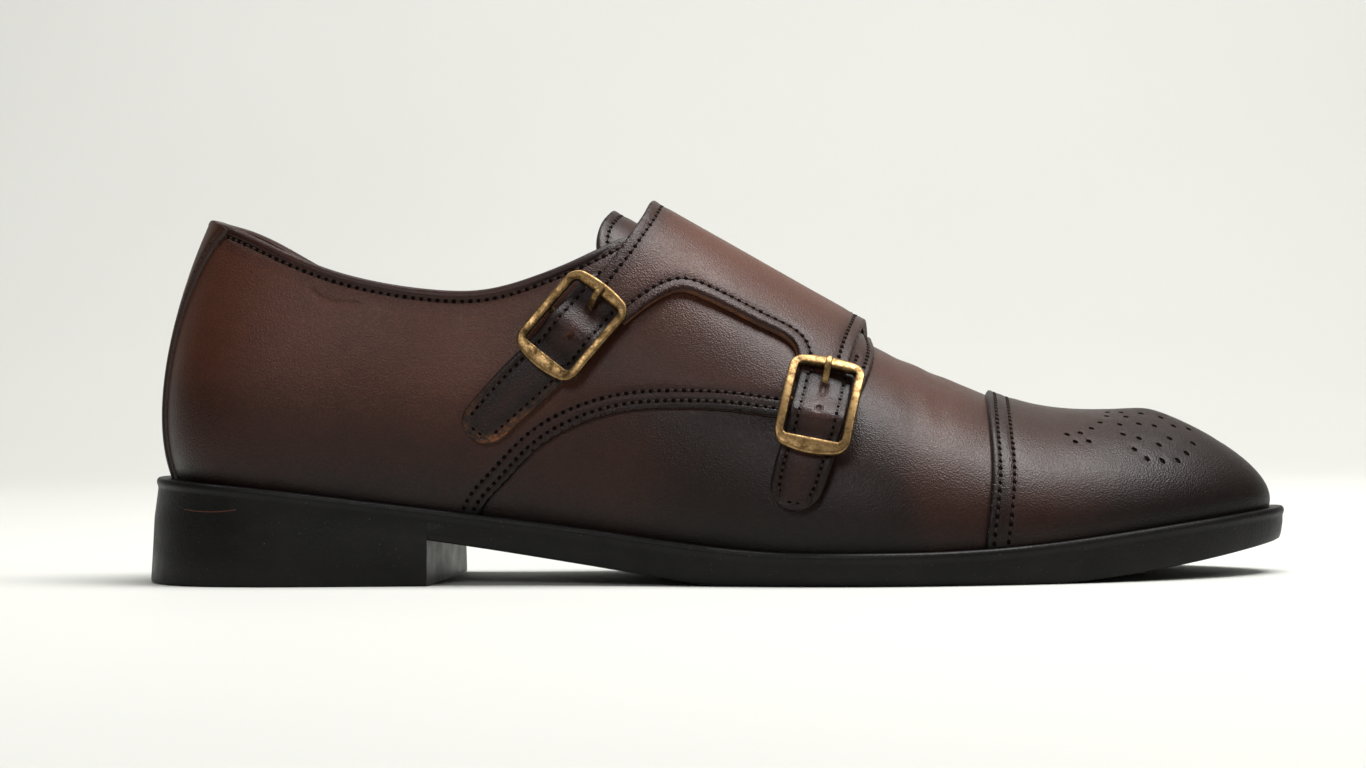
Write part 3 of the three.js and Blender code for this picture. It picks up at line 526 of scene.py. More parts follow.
class Panel:
    """One piece of leather cut out on a chart of the last, with rounded edges and sewn rows."""

    def __init__(self, name, chart, t_range, s_range=(-1.0, 1.0), spacing=1.7):
        self.name = name
        self.chart = chart
        self.t_range = t_range
        self.s_range = s_range
        self.spacing = spacing
        self.lines = []
        self.rows = []
        self.holes = []
        self.creases = []

    def line(self, place, shown=True, pitch=1.1):
        """The next stretch of the outline; it starts where the last one ended."""
        self.lines.append((resample(place, pitch), shown))
        return self

    def outline(self):
        places = []
        shown = []
        for place, is_shown in self.lines:
            places.append(place[:-1])
            shown += [is_shown] * (len(place) - 1)
        return np.vstack(places), np.array(shown)

    def build(self, low, high, materials, tone, edge_radius=0.7):
        loop, shown = self.outline()
        loop_flat = self.chart(loop)
        after = np.roll(loop_flat, -1, axis=0)
        left = np.cross(loop_flat, after).sum() > 0
        stacks = [loop]
        for place, is_shown in self.lines:
            if not is_shown:
                continue
            for distance in EDGE_STEPS:
                stacks.append(moved_in(resample(place, max(distance, 0.8)), distance, left))
        for row in self.rows:
            for distance in (-GROOVE_WIDTH * 1.5, -GROOVE_WIDTH * 0.7, GROOVE_WIDTH * 0.7,
                             GROOVE_WIDTH * 1.5):
                stacks.append(moved_in(row, distance, True))
            stacks.append(row)
        for crease_line, _, width in self.creases:
            for distance in (-1.6 * width, -0.8 * width, 0.0, 0.8 * width, 1.6 * width):
                stacks.append(moved_in(resample(crease_line, 0.7), distance, True))
        fixed = len(loop)
        rims = []
        for hole in self.holes:
            rims.append((fixed, len(hole)))
            fixed += len(hole)
        stacks[1:1] = self.holes
        extra = np.vstack(stacks[1 + len(self.holes):]) if len(stacks) > 1 + len(self.holes) else loop[:0]
        fixed_places = np.vstack([loop, *self.holes])
        fine = extra[inside(self.chart(extra), loop_flat)] if len(extra) else extra
        fill = scatter(self.chart, loop_flat, self.t_range, self.s_range, self.spacing)
        places = self.thinned(fixed_places, fine, fill)
        flat = self.chart(places)
        faces = self.triangles(flat, loop_flat, len(loop), rims)
        return self.shaped(places, faces, loop, shown, rims, low, high, materials, tone,
                           edge_radius)

    def thinned(self, fixed, fine, fill):
        """The outline's places, then fine ones, then the fill, none too near those before it."""
        kept = [fixed]
        solid_points = on_last(fixed)
        if len(fine):
            gap, _ = nearest(on_last(fine), solid_points)
            fine = fine[gap > 0.16]
            points = on_last(fine)
            tree = KDTree(len(points))
            for i, point in enumerate(points):
                tree.insert(point, i)
            tree.balance()
            dropped = np.zeros(len(points), bool)
            for i, point in enumerate(points):
                if dropped[i]:
                    continue
                for _, j, _ in tree.find_range(point, 0.16):
                    if j > i:
                        dropped[j] = True
            fine = fine[~dropped]
            kept.append(fine)
            solid_points = np.vstack([solid_points, on_last(fine)])
        gap, _ = nearest(on_last(fill), solid_points)
        kept.append(fill[gap > self.spacing * 0.55])
        return np.vstack(kept)

    def triangles(self, flat, loop_flat, loop_count, rims):
        edges = [(i, (i + 1) % loop_count) for i in range(loop_count)]
        for start, count in rims:
            edges += [(start + i, start + (i + 1) % count) for i in range(count)]
        result = delaunay_2d_cdt([Vector(p) for p in flat], edges, [], 0, 1e-7)
        origin = [ids[0] if ids else -1 for ids in result[3]]
        faces = np.array([[origin[i] for i in face] for face in result[2] if len(face) == 3])
        faces = faces[(faces >= 0).all(1)]
        centres = flat[faces].mean(1)
        keep = inside(centres, loop_flat)
        for start, count in rims:
            keep &= ~inside(centres, flat[start:start + count])
        faces = faces[keep]
        a, b, c = flat[faces[:, 0]], flat[faces[:, 1]], flat[faces[:, 2]]
        turned = np.cross(b - a, c - a) < 0
        faces[turned] = faces[turned][:, ::-1]
        return faces

    def shaped(self, places, faces, loop, shown, rims, low, high, materials, tone,
               edge_radius):
        side, t, v = places.T
        points = on_last(places)
        if shown.any():
            edge_distance, _ = nearest(points, self.dense(loop, shown))
        else:
            edge_distance = np.full(len(points), FAR_FROM_EDGE)
        lift_low = low(side, t, v)
        lift_high = high(side, t, v)
        drop = edge_radius_profile(edge_distance, edge_radius) * edge_radius
        lift = lift_high - drop
        sewn = np.full(len(points), FAR_FROM_EDGE)
        for row in self.rows:
            distance, which = nearest(points, on_last(row))
            hole = np.where(which % 2 == 0, 1.25, 0.75)
            lift -= GROOVE * hole * np.exp(-(distance / GROOVE_WIDTH)**2)
            lift -= PUCKER_DEPTH * np.exp(-(distance / PUCKER_WIDTH)**2)
            sewn = np.minimum(sewn, distance)
        for start, count in rims:
            distance, _ = nearest(points, points[start:start + count])
            lift -= PUNCH_DRAG * np.exp(-(distance / PUNCH_DRAG_WIDTH)**2)
        for crease_line, depth, width in self.creases:
            distance, _ = nearest(points, on_last(resample(crease_line, 0.5)))
            lift -= depth * np.exp(-(distance / width)**2)
            lift += depth * CREASE_SHOULDER * np.exp(-((distance - width * 2) / width)**2)
        top = skin(side, t, v, lift)
        under = skin(side, t, v, lift_low)
        tuck_foot((top, under), v)
        fields = {"tone": tone(top), "edge": edge_distance, "sewn": sewn}
        return closed_layer(self.name, top, under, faces, materials, fields)

    def dense(self, loop, shown):
        points = on_last(loop)
        after = np.roll(points, -1, axis=0)
        picked = shown
        share = np.linspace(0, 1, 6)[:, None, None]
        return (points[picked] * (1 - share) + after[picked] * share).reshape(-1, 3)


# ---------------------------------------------------------------------------------------------
# Pattern edges, as in the CAD source but for the inner topline and the flap's lower front corner
# ---------------------------------------------------------------------------------------------
TOPLINE = np.array([
    [16, 96.4], [23, 94.3], [38, 87.8], [52, 82.1], [66, 78.4], [80, 76.3], [93, 76.2],
    [105, 79.2], [115, 83.1], [124, 87.6], [134, 93.2],
], float)
INNER_TOPLINE_DROP = 3.0
CAP_EDGE = [[222.3, 60], [223.2, 42], [223.7, 31], [223, 21], [221, 5]]
OUTER_QUARTER = [
    [90, 12], [92.5, 19.5], [98.3, 26], [106.7, 34.5], [117.2, 40.7], [130.1, 44.4],
    [145.4, 45.2], [158.1, 44.6], [170, 43], [180, 42.4], [187, 44], [190.5, 48.5],
    [192.8, 54], [193.8, 59], [192.6, 62.5], [189, 68],
]
INNER_QUARTER = [
    [90, 12], [92.5, 19.5], [98.3, 26], [106.7, 34.5], [117.2, 40.5], [130.1, 43.4],
    [145.4, 43.6], [158.1, 42], [170, 40.6], [180, 42], [187, 47], [190, 54], [191, 62], [191, 70],
]
FLAP_BACK_EDGE = [[135, 104], [134, 98], [132.2, 94], [127.5, 86.2], [123.6, 80.8], [121.2, 77]]
FLAP_LOWER_EDGE = [
    [129.8, 67.2], [135, 71.5], [140.6, 75.1], [144.8, 76.2], [149.4, 74.8], [157.2, 71.1],
    [165, 67.1], [171.2, 64.0], [173.9, 61.2], [174.8, 57.2], [175.0, 53.9],
]
FLAP_FRONT_EDGE = [[187, 53.5], [188.1, 58.2], [189.6, 63.5], [190.7, 67.1], [191, 76]]
TONGUE_PLAN = [
    [188, -8], [170, -16], [150, -20], [132, -23], [123.5, -22], [121.8, -17], [124, -8],
    [125, 1], [124, 10], [121.8, 19], [123.5, 24], [132, 26], [150, 24], [170, 21], [188, 14],
]
topline_spline = spline(TOPLINE[:, 0], TOPLINE[:, 1])


def topline_height(side):
    def height(x):
        drop = INNER_TOPLINE_DROP * ease((x - 20) / 30) if side > 0 else 0
        return topline_spline(x) - drop
    return height


def topline(side, t_end, lift):
    """The collar's edge from the heel's middle line forwards."""
    t = np.concatenate([np.linspace(0, 12, 16)[:-1], np.linspace(12, t_end, 90)])
    sides = np.full_like(t, side)
    v = climb_to(sides, t, topline_height(side), lift)
    return np.stack([sides, t, v], -1)


def foot_line(side, t_from, t_to):
    t = np.linspace(t_from, t_to, max(int(abs(t_to - t_from) / 2), 8))
    return np.stack([np.full_like(t, side), t, 0 * t], -1)


def station_line(side, t, v_from, v_to):
    v = np.linspace(v_from, v_to, 40)
    return np.stack([np.full_like(v, side), np.full_like(v, t), v], -1)


def starting_at_foot(place):
    """Leaves out what lies under the foot line, and starts on it."""
    first = int(np.argmax(place[:, 2] > 0.004))
    place = place[max(first - 1, 0):].copy()
    place[0, 2] = 0
    return place


OUTER_STACK = GAP + PANEL + GAP
FLAP_CROWN = 0.9
FLAP_ROOT = 0.55


def instep(t):
    return ease((t - 60) / 40) * (1 - ease((t - 210) / 40))


def flap_low(side, t, v):
    lateral = OUTER_STACK - GAP + FLAP_CROWN * ease((v - 0.6) / 0.4)
    medial = (OUTER_STACK - GAP + FLAP_CROWN) * ease((v - FLAP_ROOT) / (1 - FLAP_ROOT))
    return GAP + np.where(side < 0, lateral, medial) * instep(t)


def flap_high(side, t, v):
    root = np.where(side < 0, STRAP, PANEL)
    full = ease((v - FLAP_ROOT) / (1 - FLAP_ROOT))
    return flap_low(side, t, v) + PANEL + (root - PANEL + (FLAP - root) * full) * instep(t)


def tuck_foot(layers, v):
    """Lowers the foot's edge of a leather's two sides into the sole."""
    for layer in layers:
        layer[:, 2] -= np.where(v < FOOT_STEP, FOOT_TUCK, 0)


def still(lift):
    return lambda side, t, v: np.full_like(t, lift)


# ---------------------------------------------------------------------------------------------
# How light the leather is: darker at the sole, a burnished toe, painted shade low on the vamp (and at the
# seams, in the material), painted light higher up
# ---------------------------------------------------------------------------------------------
LEATHER_TONE = 0.44


def burnish_and_painted_light(points):
    x, _, z = points.T
    over_sole = z - seat(np.clip(x, 0, LENGTH))
    tone = np.full(x.shape, LEATHER_TONE)
    # Darker towards the sole.
    tone -= 0.24 * np.exp(-np.maximum(over_sole, 0) / 13)
    # Painted light: lighter towards the top over the instep.
    tone += 0.20 * ease((z - 55) / 35) * ease((x - 125) / 25)
    # A darker burnished toe.
    tone -= 0.14 * ease((x - 236) / 30)
    # Painted sheen across the vamp between the flap and the toe cap.
    tone += 0.08 * ease((x - 185) / 15) * (1 - ease((x - 214) / 14)) * ease((over_sole - 18) / 20)
    # Painted light: the quarters lighter higher up towards the heel.
    tone += 0.10 * ease((over_sole - 14) / 22) * (1 - ease((x - 100) / 34))
    # Painted highlight on the quarters' waist.
    tone += 0.05 * np.exp(-((x - 92) / 22)**2 - ((over_sole - 32) / 14)**2)
    # Painted shade low on the vamp below the quarters' edge and the straps.
    tone -= 0.20 * ease((x - 128) / 30) * (1 - ease((x - 196) / 14)) * (1 - ease((z - 40) / 12))
    return tone


# ---------------------------------------------------------------------------------------------
# Materials
# ---------------------------------------------------------------------------------------------
SCRATCH_MIDDLE = (-0.1284, 0.0195)
SCRATCH_BEND = 10.0
SCRATCH_HALF_WIDTH = 0.00012
SCRATCH_HALF_LENGTH = 0.0076


class Finish:
    """A node material under construction: short calls for the nodes that finishes share."""

    def __init__(self, name, roughness=0.5, metallic=0.0):
        self.material = bpy.data.materials.new(name)
        self.material.use_nodes = True
        self.tree = self.material.node_tree
        self.shader = self.tree.nodes["Principled BSDF"]
        self.shader.inputs["Roughness"].default_value = roughness
        self.shader.inputs["Metallic"].default_value = metallic
        self.place = self.tree.nodes.new("ShaderNodeTexCoord").outputs["Object"]

    def link(self, source, target):
        self.tree.links.new(source, target)

    def stretched(self, scale):
        node = self.tree.nodes.new("ShaderNodeMapping")
        node.inputs["Scale"].default_value = scale
        self.link(self.place, node.inputs["Vector"])
        return node.outputs["Vector"]

    def noise(self, scale, detail=3.0, roughness=0.5, vector=None):
        node = self.tree.nodes.new("ShaderNodeTexNoise")
        node.inputs["Scale"].default_value = scale
        node.inputs["Detail"].default_value = detail
        node.inputs["Roughness"].default_value = roughness
        self.link(vector or self.place, node.inputs["Vector"])
        return node.outputs["Fac"]

    def cells(self, scale, feature="F1", smoothness=0.6):
        node = self.tree.nodes.new("ShaderNodeTexVoronoi")
        node.feature = feature
        node.inputs["Scale"].default_value = scale
        if feature == "SMOOTH_F1":
            node.inputs["Smoothness"].default_value = smoothness
        self.link(self.place, node.inputs["Vector"])
        return node.outputs["Distance"]

    def field(self, name):
        node = self.tree.nodes.new("ShaderNodeAttribute")
        node.attribute_name = name
        return node.outputs["Fac"]

    def math(self, operation, a, b=None):
        node = self.tree.nodes.new("ShaderNodeMath")
        node.operation = operation
        for socket, value in zip(node.inputs, (a, b)):
            if isinstance(value, (int, float)):
                socket.default_value = value
            elif value is not None:
                self.link(value, socket)
        return node.outputs["Value"]

    def spread(self, value, low, high, to_low=0.0, to_high=1.0):
        node = self.tree.nodes.new("ShaderNodeMapRange")
        node.inputs["From Min"].default_value = low
        node.inputs["From Max"].default_value = high
        node.inputs["To Min"].default_value = to_low
        node.inputs["To Max"].default_value = to_high
        self.link(value, node.inputs["Value"])
        return node.outputs["Result"]

    def ramp(self, value, stops):
        node = self.tree.nodes.new("ShaderNodeValToRGB")
        elements = node.color_ramp.elements
        while len(elements) < len(stops):
            elements.new(0.5)
        for element, (position, colour) in zip(elements, stops):
            element.position = position
            element.color = (*colour, 1.0)
        self.link(value, node.inputs["Fac"])
        return node.outputs["Color"]

    def blended(self, factor, a, b):
        node = self.tree.nodes.new("ShaderNodeMix")
        node.data_type = "RGBA"
        sockets = [s for s in node.inputs if s.type == "RGBA"]
        for socket, value in zip(sockets, (a, b)):
            if isinstance(value, tuple):
                socket.default_value = (*value, 1.0)
            else:
                self.link(value, socket)
        factor_socket = next(s for s in node.inputs if s.type == "VALUE")
        self.link(factor, factor_socket)
        return next(s for s in node.outputs if s.type == "RGBA")

    def bump(self, height, distance, strength=1.0, under=None):
        node = self.tree.nodes.new("ShaderNodeBump")
        node.inputs["Distance"].default_value = distance
        node.inputs["Strength"].default_value = strength
        self.link(height, node.inputs["Height"])
        if under is not None:
            self.link(under, node.inputs["Normal"])
        return node.outputs["Normal"]

    def finished(self, colour=None, roughness=None, normal=None):
        if colour is not None:
            self.link(colour, self.shader.inputs["Base Color"])
        if roughness is not None:
            self.link(roughness, self.shader.inputs["Roughness"])
        if normal is not None:
            self.link(normal, self.shader.inputs["Normal"])
        return self.material


def burnished_leather(name, shift=0.0, grain=1.0, redness=1.0, gloss=0.345):
    """Fine-grained calf: dark where it was burnished, with painted shade and light from its tone field and
    painted shade along the stitch grooves; redder and lighter where it was rubbed.
    """
    leather = Finish(name)
    leather.shader.inputs["Coat Weight"].default_value = 0.06
    leather.shader.inputs["Coat Roughness"].default_value = 0.34
    leather.shader.inputs["Specular IOR Level"].default_value = 0.21
    clouds = leather.spread(leather.noise(15, 3, 0.45), 0.3, 0.7, -0.055, 0.055)
    mottle = leather.spread(leather.noise(190, 3, 0.6), 0.3, 0.7, -0.018, 0.018)
    pores = leather.spread(leather.cells(1500), 0.05, 0.6, 0.05, -0.04)
    edge = leather.spread(leather.field("edge"), 0.0, 7.0, -0.17, 0.0)
    # Painted shade along the stitch grooves.
    sewn = leather.spread(leather.field("sewn"), 0.2, 0.9, -0.05, 0.0)
    # The tone field brings the burnished dark together with painted shade and painted light.
    value = leather.math("ADD", leather.field("tone"), clouds)
    for part in (mottle, pores, edge, sewn):
        value = leather.math("ADD", value, part)
    value = leather.math("ADD", value, shift)
    colour = leather.ramp(value, [
        (0.00, (0.0025, 0.0014, 0.0011)),
        (0.20, (0.0095, 0.0036, 0.0024)),
        (0.42, (0.036 * redness, 0.0118, 0.0067)),
        (0.62, (0.085 * redness, 0.031, 0.0175)),
        (0.86, (0.140 * redness, 0.070, 0.045)),
    ])
    rubbed = leather.noise(700, 3, 0.6)
    raw = leather.ramp(rubbed, [(0.3, (0.085, 0.026, 0.009)), (0.7, (0.21, 0.078, 0.027))])
    patchy = leather.spread(leather.noise(520, 3, 0.6), 0.36, 0.58)
    colour = leather.blended(leather.math("MULTIPLY", leather.field("worn"), patchy), colour, raw)
    polish = leather.spread(leather.noise(70, 3, 0.6), 0.3, 0.7, gloss - 0.05, gloss + 0.07)
    dull = leather.spread(leather.cells(1500), 0.0, 0.5, 0.0, 0.07)
    rough = leather.math("ADD", polish, dull)
    grain_cells = leather.bump(leather.cells(2100, "SMOOTH_F1", 0.3), 0.00018 * grain, 0.55)
    grain_fine = leather.bump(leather.noise(2800, 2, 0.6), 0.00006 * grain, 0.5, grain_cells)
    waves = leather.bump(leather.noise(60, 1, 0.4), 0.0006, 0.14, grain_fine)
    return leather.finished(colour, rough, waves)


def cut_edge_leather():
    edge = Finish("raw_cut_edge", 0.7)
    fibres = edge.noise(900, 4, 0.7, edge.stretched((1.0, 1.0, 3.0)))
    mixed = edge.math("ADD", edge.spread(edge.noise(120, 3), 0.3, 0.7, -0.2, 0.2), fibres)
    colour = edge.ramp(mixed, [
        (0.2, (0.022, 0.009, 0.005)),
        (0.5, (0.085, 0.030, 0.012)),
        (0.8, (0.19, 0.072, 0.026)),
    ])
    return edge.finished(colour, None, edge.bump(fibres, 0.0003, 0.8))


def dark_edge_leather():
    edge = Finish("inked_edge", 0.5)
    fibres = edge.noise(1100, 3, 0.6)
    colour = edge.ramp(fibres, [(0.3, (0.010, 0.006, 0.005)), (0.7, (0.045, 0.022, 0.015))])
    return edge.finished(colour, None, edge.bump(fibres, 0.0002, 0.7))


def lining_leather():
    lining = Finish("lining_calf", 0.6)
    clouds = lining.math("ADD", lining.noise(45, 4), lining.spread(lining.noise(1500, 2), 0, 1, -0.1, 0.1))
    colour = lining.ramp(clouds, [
        (0.25, (0.16, 0.085, 0.045)),
        (0.55, (0.27, 0.155, 0.085)),
        (0.8, (0.36, 0.22, 0.13)),
    ])
    grain = lining.bump(lining.cells(900, "SMOOTH_F1"), 0.0003, 0.5)
    return lining.finished(colour, None, grain)


def heel_scratch(rubber):
    """A thin curved scratch on the outer side of the heel block, as a mask."""
    split = rubber.tree.nodes.new("ShaderNodeSeparateXYZ")
    rubber.link(rubber.place, split.inputs["Vector"])
    along = rubber.math("SUBTRACT", split.outputs["X"], SCRATCH_MIDDLE[0])
    sag = rubber.math("MULTIPLY", rubber.math("MULTIPLY", along, along), SCRATCH_BEND)
    off = rubber.math("SUBTRACT", rubber.math("SUBTRACT", split.outputs["Z"], SCRATCH_MIDDLE[1]), sag)
    thin = rubber.math("LESS_THAN", rubber.math("ABSOLUTE", off), SCRATCH_HALF_WIDTH)
    short = rubber.math("LESS_THAN", rubber.math("ABSOLUTE", along), SCRATCH_HALF_LENGTH)
    outer = rubber.math("LESS_THAN", split.outputs["Y"], 0.0)
    return rubber.math("MULTIPLY", rubber.math("MULTIPLY", thin, short), outer)


def moulded_rubber():
    rubber = Finish("moulded_rubber", 0.42)
    rubber.shader.inputs["Specular IOR Level"].default_value = 0.16
    dust = rubber.math("GREATER_THAN", rubber.noise(1900, 2, 0.5), 0.73)
    worn = rubber.spread(rubber.noise(60, 4, 0.6), 0.35, 0.75, 0.0, 1.0)
    black = rubber.blended(worn, (0.0040, 0.0038, 0.0036), (0.0085, 0.0078, 0.0072))
    colour = rubber.blended(rubber.math("MULTIPLY", dust, 0.35), black, (0.16, 0.13, 0.11))
    colour = rubber.blended(heel_scratch(rubber), colour, (0.085, 0.030, 0.020))
    rough = rubber.spread(rubber.noise(140, 3, 0.6), 0.3, 0.7, 0.36, 0.50)
    skin_of_mould = rubber.bump(rubber.noise(1300, 3, 0.6), 0.00022, 0.5)
    return rubber.finished(colour, rough, skin_of_mould)


def antique_brass():
    brass = Finish("antique_brass", 0.34, 1.0)
    patches = brass.noise(420, 4, 0.62)
    specks = brass.noise(1800, 2, 0.6)
    tarnish_and_painted_light = brass.math("ADD", patches, brass.spread(specks, 0.3, 0.7, -0.1, 0.1))
    # Patina in the inner corners, with painted shade on the inner side and underneath and a painted
    # highlight along the top of the outer edge.
    tarnish_and_painted_light = brass.math("ADD", tarnish_and_painted_light, brass.field("patina_and_painted_light"))
    colour = brass.ramp(tarnish_and_painted_light, [
        (0.34, (0.31, 0.198, 0.088)),
        (0.50, (0.185, 0.113, 0.045)),
        (0.66, (0.085, 0.051, 0.021)),
        (0.90, (0.015, 0.011, 0.008)),
    ])
    rough = brass.spread(tarnish_and_painted_light, 0.3, 0.8, 0.32, 0.6)
    dents = brass.bump(brass.noise(1100, 3, 0.6), 0.00003, 0.3)
    return brass.finished(colour, rough, dents)


def waxed_thread(name, dark, light):
    thread = Finish(name, 0.6)
    thread.shader.inputs["Specular IOR Level"].default_value = 0.2
    twist = thread.noise(2400, 2, 0.5)
    colour = thread.ramp(twist, [(0.3, dark), (0.7, light)])
    return thread.finished(colour, None, thread.bump(twist, 0.0002, 0.6))


# Near-black beads of painted shade for the needle holes and the punched holes.
def needle_shadow():
    shadow = Finish("needle_hole_shade", 0.9)
    shadow.shader.inputs["Specular IOR Level"].default_value = 0.02
    stops = [(0.3, (0.002, 0.0015, 0.0012)), (0.8, (0.008, 0.005, 0.004))]
    colour = shadow.ramp(shadow.noise(1500, 2), stops)
    return shadow.finished(colour)


def pale_floor():
    floor = Finish("pale_floor", 0.65)
    colour = floor.ramp(floor.noise(3, 2), [(0.2, (0.585, 0.585, 0.55)), (0.8, (0.61, 0.61, 0.575))])
    return floor.finished(colour)


VAMP_LEATHER = burnished_leather("vamp_calf")
CAP_LEATHER = burnished_leather("cap_calf", shift=-0.05)
QUARTER_LEATHER = burnished_leather("quarter_calf", redness=1.04)
FLAP_LEATHER = burnished_leather("flap_calf", shift=0.03, redness=1.04, grain=1.2)
BACKSTAY_LEATHER = burnished_leather("backstay_calf", shift=0.02, redness=0.9, grain=0.7)
STRAP_LEATHER = burnished_leather("strap_calf", shift=-0.02, redness=1.1, grain=1.0)
TONGUE_LEATHER = burnished_leather("tongue_calf", shift=0.0, grain=0.5, redness=0.92)
BINDING_LEATHER = burnished_leather("binding_calf", shift=-0.10, grain=0.5, redness=1.2)
CUT_EDGE = cut_edge_leather()
DARK_EDGE = dark_edge_leather()
LINING = lining_leather()
RUBBER = moulded_rubber()
BRASS = antique_brass()
THREAD = waxed_thread("brown_thread", (0.016, 0.008, 0.006), (0.046, 0.022, 0.015))
NEEDLE_SHADE = needle_shadow()


# ---------------------------------------------------------------------------------------------
# Stitches: one tree sets a stitch on each marked place, and a dark bead of painted shade for the needle hole
# at its end
# ---------------------------------------------------------------------------------------------
def stitch_tree():
    tree = bpy.data.node_groups.new("sewn_row", "GeometryNodeTree")
    face = tree.interface
    face.new_socket("Geometry", in_out="INPUT", socket_type="NodeSocketGeometry")
    face.new_socket("Stitch size", in_out="INPUT", socket_type="NodeSocketVector")
    face.new_socket("Size spread", in_out="INPUT", socket_type="NodeSocketFloat")
    face.new_socket("Seed", in_out="INPUT", socket_type="NodeSocketInt")
    face.new_socket("Material", in_out="INPUT", socket_type="NodeSocketMaterial")
    face.new_socket("Geometry", in_out="OUTPUT", socket_type="NodeSocketGeometry")
    nodes = tree.nodes
    links = tree.links
    given = nodes.new("NodeGroupInput")
    result = nodes.new("NodeGroupOutput")
    bead = nodes.new("GeometryNodeMeshUVSphere")
    bead.inputs["Segments"].default_value = 8
    bead.inputs["Rings"].default_value = 5
    bead.inputs["Radius"].default_value = 0.5
    shaded = nodes.new("GeometryNodeSetShadeSmooth")
    links.new(bead.outputs["Mesh"], shaded.inputs["Geometry"])
    along = nodes.new("GeometryNodeInputNamedAttribute")
    along.data_type = "FLOAT_VECTOR"
    along.inputs["Name"].default_value = "along"
    outward = nodes.new("GeometryNodeInputNamedAttribute")
    outward.data_type = "FLOAT_VECTOR"
    outward.inputs["Name"].default_value = "outward"
    first_turn = nodes.new("FunctionNodeAlignRotationToVector")
    first_turn.axis = "X"
    second_turn = nodes.new("FunctionNodeAlignRotationToVector")
    second_turn.axis = "Z"
    second_turn.pivot_axis = "X"
    links.new(along.outputs["Attribute"], first_turn.inputs["Vector"])
    links.new(first_turn.outputs["Rotation"], second_turn.inputs["Rotation"])
    links.new(outward.outputs["Attribute"], second_turn.inputs["Vector"])
    chance = nodes.new("FunctionNodeRandomValue")
    chance.data_type = "FLOAT"
    low = nodes.new("ShaderNodeMath")
    low.operation = "SUBTRACT"
    low.inputs[0].default_value = 1.0
    high = nodes.new("ShaderNodeMath")
    high.operation = "ADD"
    high.inputs[0].default_value = 1.0
    links.new(given.outputs["Size spread"], low.inputs[1])
    links.new(given.outputs["Size spread"], high.inputs[1])
    floats = [s for s in chance.inputs if s.type == "VALUE"]
    links.new(low.outputs["Value"], floats[0])
    links.new(high.outputs["Value"], floats[1])
    links.new(given.outputs["Seed"], chance.inputs["Seed"])
    size = nodes.new("ShaderNodeVectorMath")
    size.operation = "SCALE"
    links.new(given.outputs["Stitch size"], size.inputs["Vector"])
    links.new(next(s for s in chance.outputs if s.type == "VALUE"), size.inputs["Scale"])
    sewn = nodes.new("GeometryNodeInstanceOnPoints")
    links.new(given.outputs["Geometry"], sewn.inputs["Points"])
    links.new(shaded.outputs["Geometry"], sewn.inputs["Instance"])
    links.new(second_turn.outputs["Rotation"], sewn.inputs["Rotation"])
    links.new(size.outputs["Vector"], sewn.inputs["Scale"])
    real = nodes.new("GeometryNodeRealizeInstances")
    links.new(sewn.outputs["Instances"], real.inputs["Geometry"])
    dressed = nodes.new("GeometryNodeSetMaterial")
    links.new(real.outputs["Geometry"], dressed.inputs["Geometry"])
    links.new(given.outputs["Material"], dressed.inputs["Material"])
    links.new(dressed.outputs["Geometry"], result.inputs["Geometry"])
    return tree


STITCH_TREE = stitch_tree()


def instanced(name, points, along, outward, size, spread, seed, material):
    """A plain mesh of beads of one size (mm), each turned along its row and out of the leather."""
    mesh = bpy.data.meshes.new(name + "_places")
    mesh.from_pydata(((points + SHIFT) * MM).tolist(), [], [])
    for key, values in (("along", along), ("outward", outward)):
        layer = mesh.attributes.new(key, "FLOAT_VECTOR", "POINT")
        layer.data.foreach_set("vector", np.asarray(values, np.float32).ravel())
    holder = bpy.data.objects.new(name + "_places", mesh)
    bpy.context.scene.collection.objects.link(holder)
    modifier = holder.modifiers.new("sewn_row", "NODES")
    modifier.node_group = STITCH_TREE
    keys = {item.name: item.identifier for item in STITCH_TREE.interface.items_tree
            if item.item_type == "SOCKET" and item.in_out == "INPUT"}
    modifier[keys["Stitch size"]] = [value * MM for value in size]
    modifier[keys["Size spread"]] = spread
    modifier[keys["Seed"]] = seed
    modifier[keys["Material"]] = material
    graph = bpy.context.evaluated_depsgraph_get()
    made = bpy.data.meshes.new_from_object(holder.evaluated_get(graph))
    bpy.data.objects.remove(holder)
    made.name = name
    piece = bpy.data.objects.new(name, made)
    bpy.context.scene.collection.objects.link(piece)
    return piece


class Sewing:
    """Rows of stitches gathered over the shoe, made into thread and the needle holes' painted shade at the
    end.
    """

    def __init__(self):
        self.threads = []
        self.needle_shades = []

    def sew(self, points, outward, sink=0.1):
        """Points lie half a pitch apart: thread lies at odd ones and dark beads of painted shade for the
        needle holes at even ones.
        """
        run = np.gradient(points, axis=0)
        run /= np.linalg.norm(run, axis=1, keepdims=True)
        outward = outward / np.linalg.norm(outward, axis=1, keepdims=True)
        across = np.cross(outward, run)
        slanted = run + across * 0.10
        self.threads.append((points[1::2] - outward[1::2] * sink, slanted[1::2], outward[1::2]))
        self.needle_shades.append((points[0::2] - outward[0::2] * (sink + 0.02), run[0::2], outward[0::2]))

    def finish(self):
        places, along, outward = (np.vstack(part) for part in zip(*self.threads))
        thread = instanced("stitching", places, along, outward, (1.25, 0.62, 0.40), 0.08, 11, THREAD)
        put_on(thread, "quarter_leather")
        # Dark beads of painted shade in the needle holes.
        places, along, outward = (np.vstack(part) for part in zip(*self.needle_shades))
        holes = instanced("painted_needle_shade", places, along, outward, (1.22, 1.08, 0.44), 0.14, 5, NEEDLE_SHADE)
        put_on(holes, "quarter_leather")


sewing = Sewing()


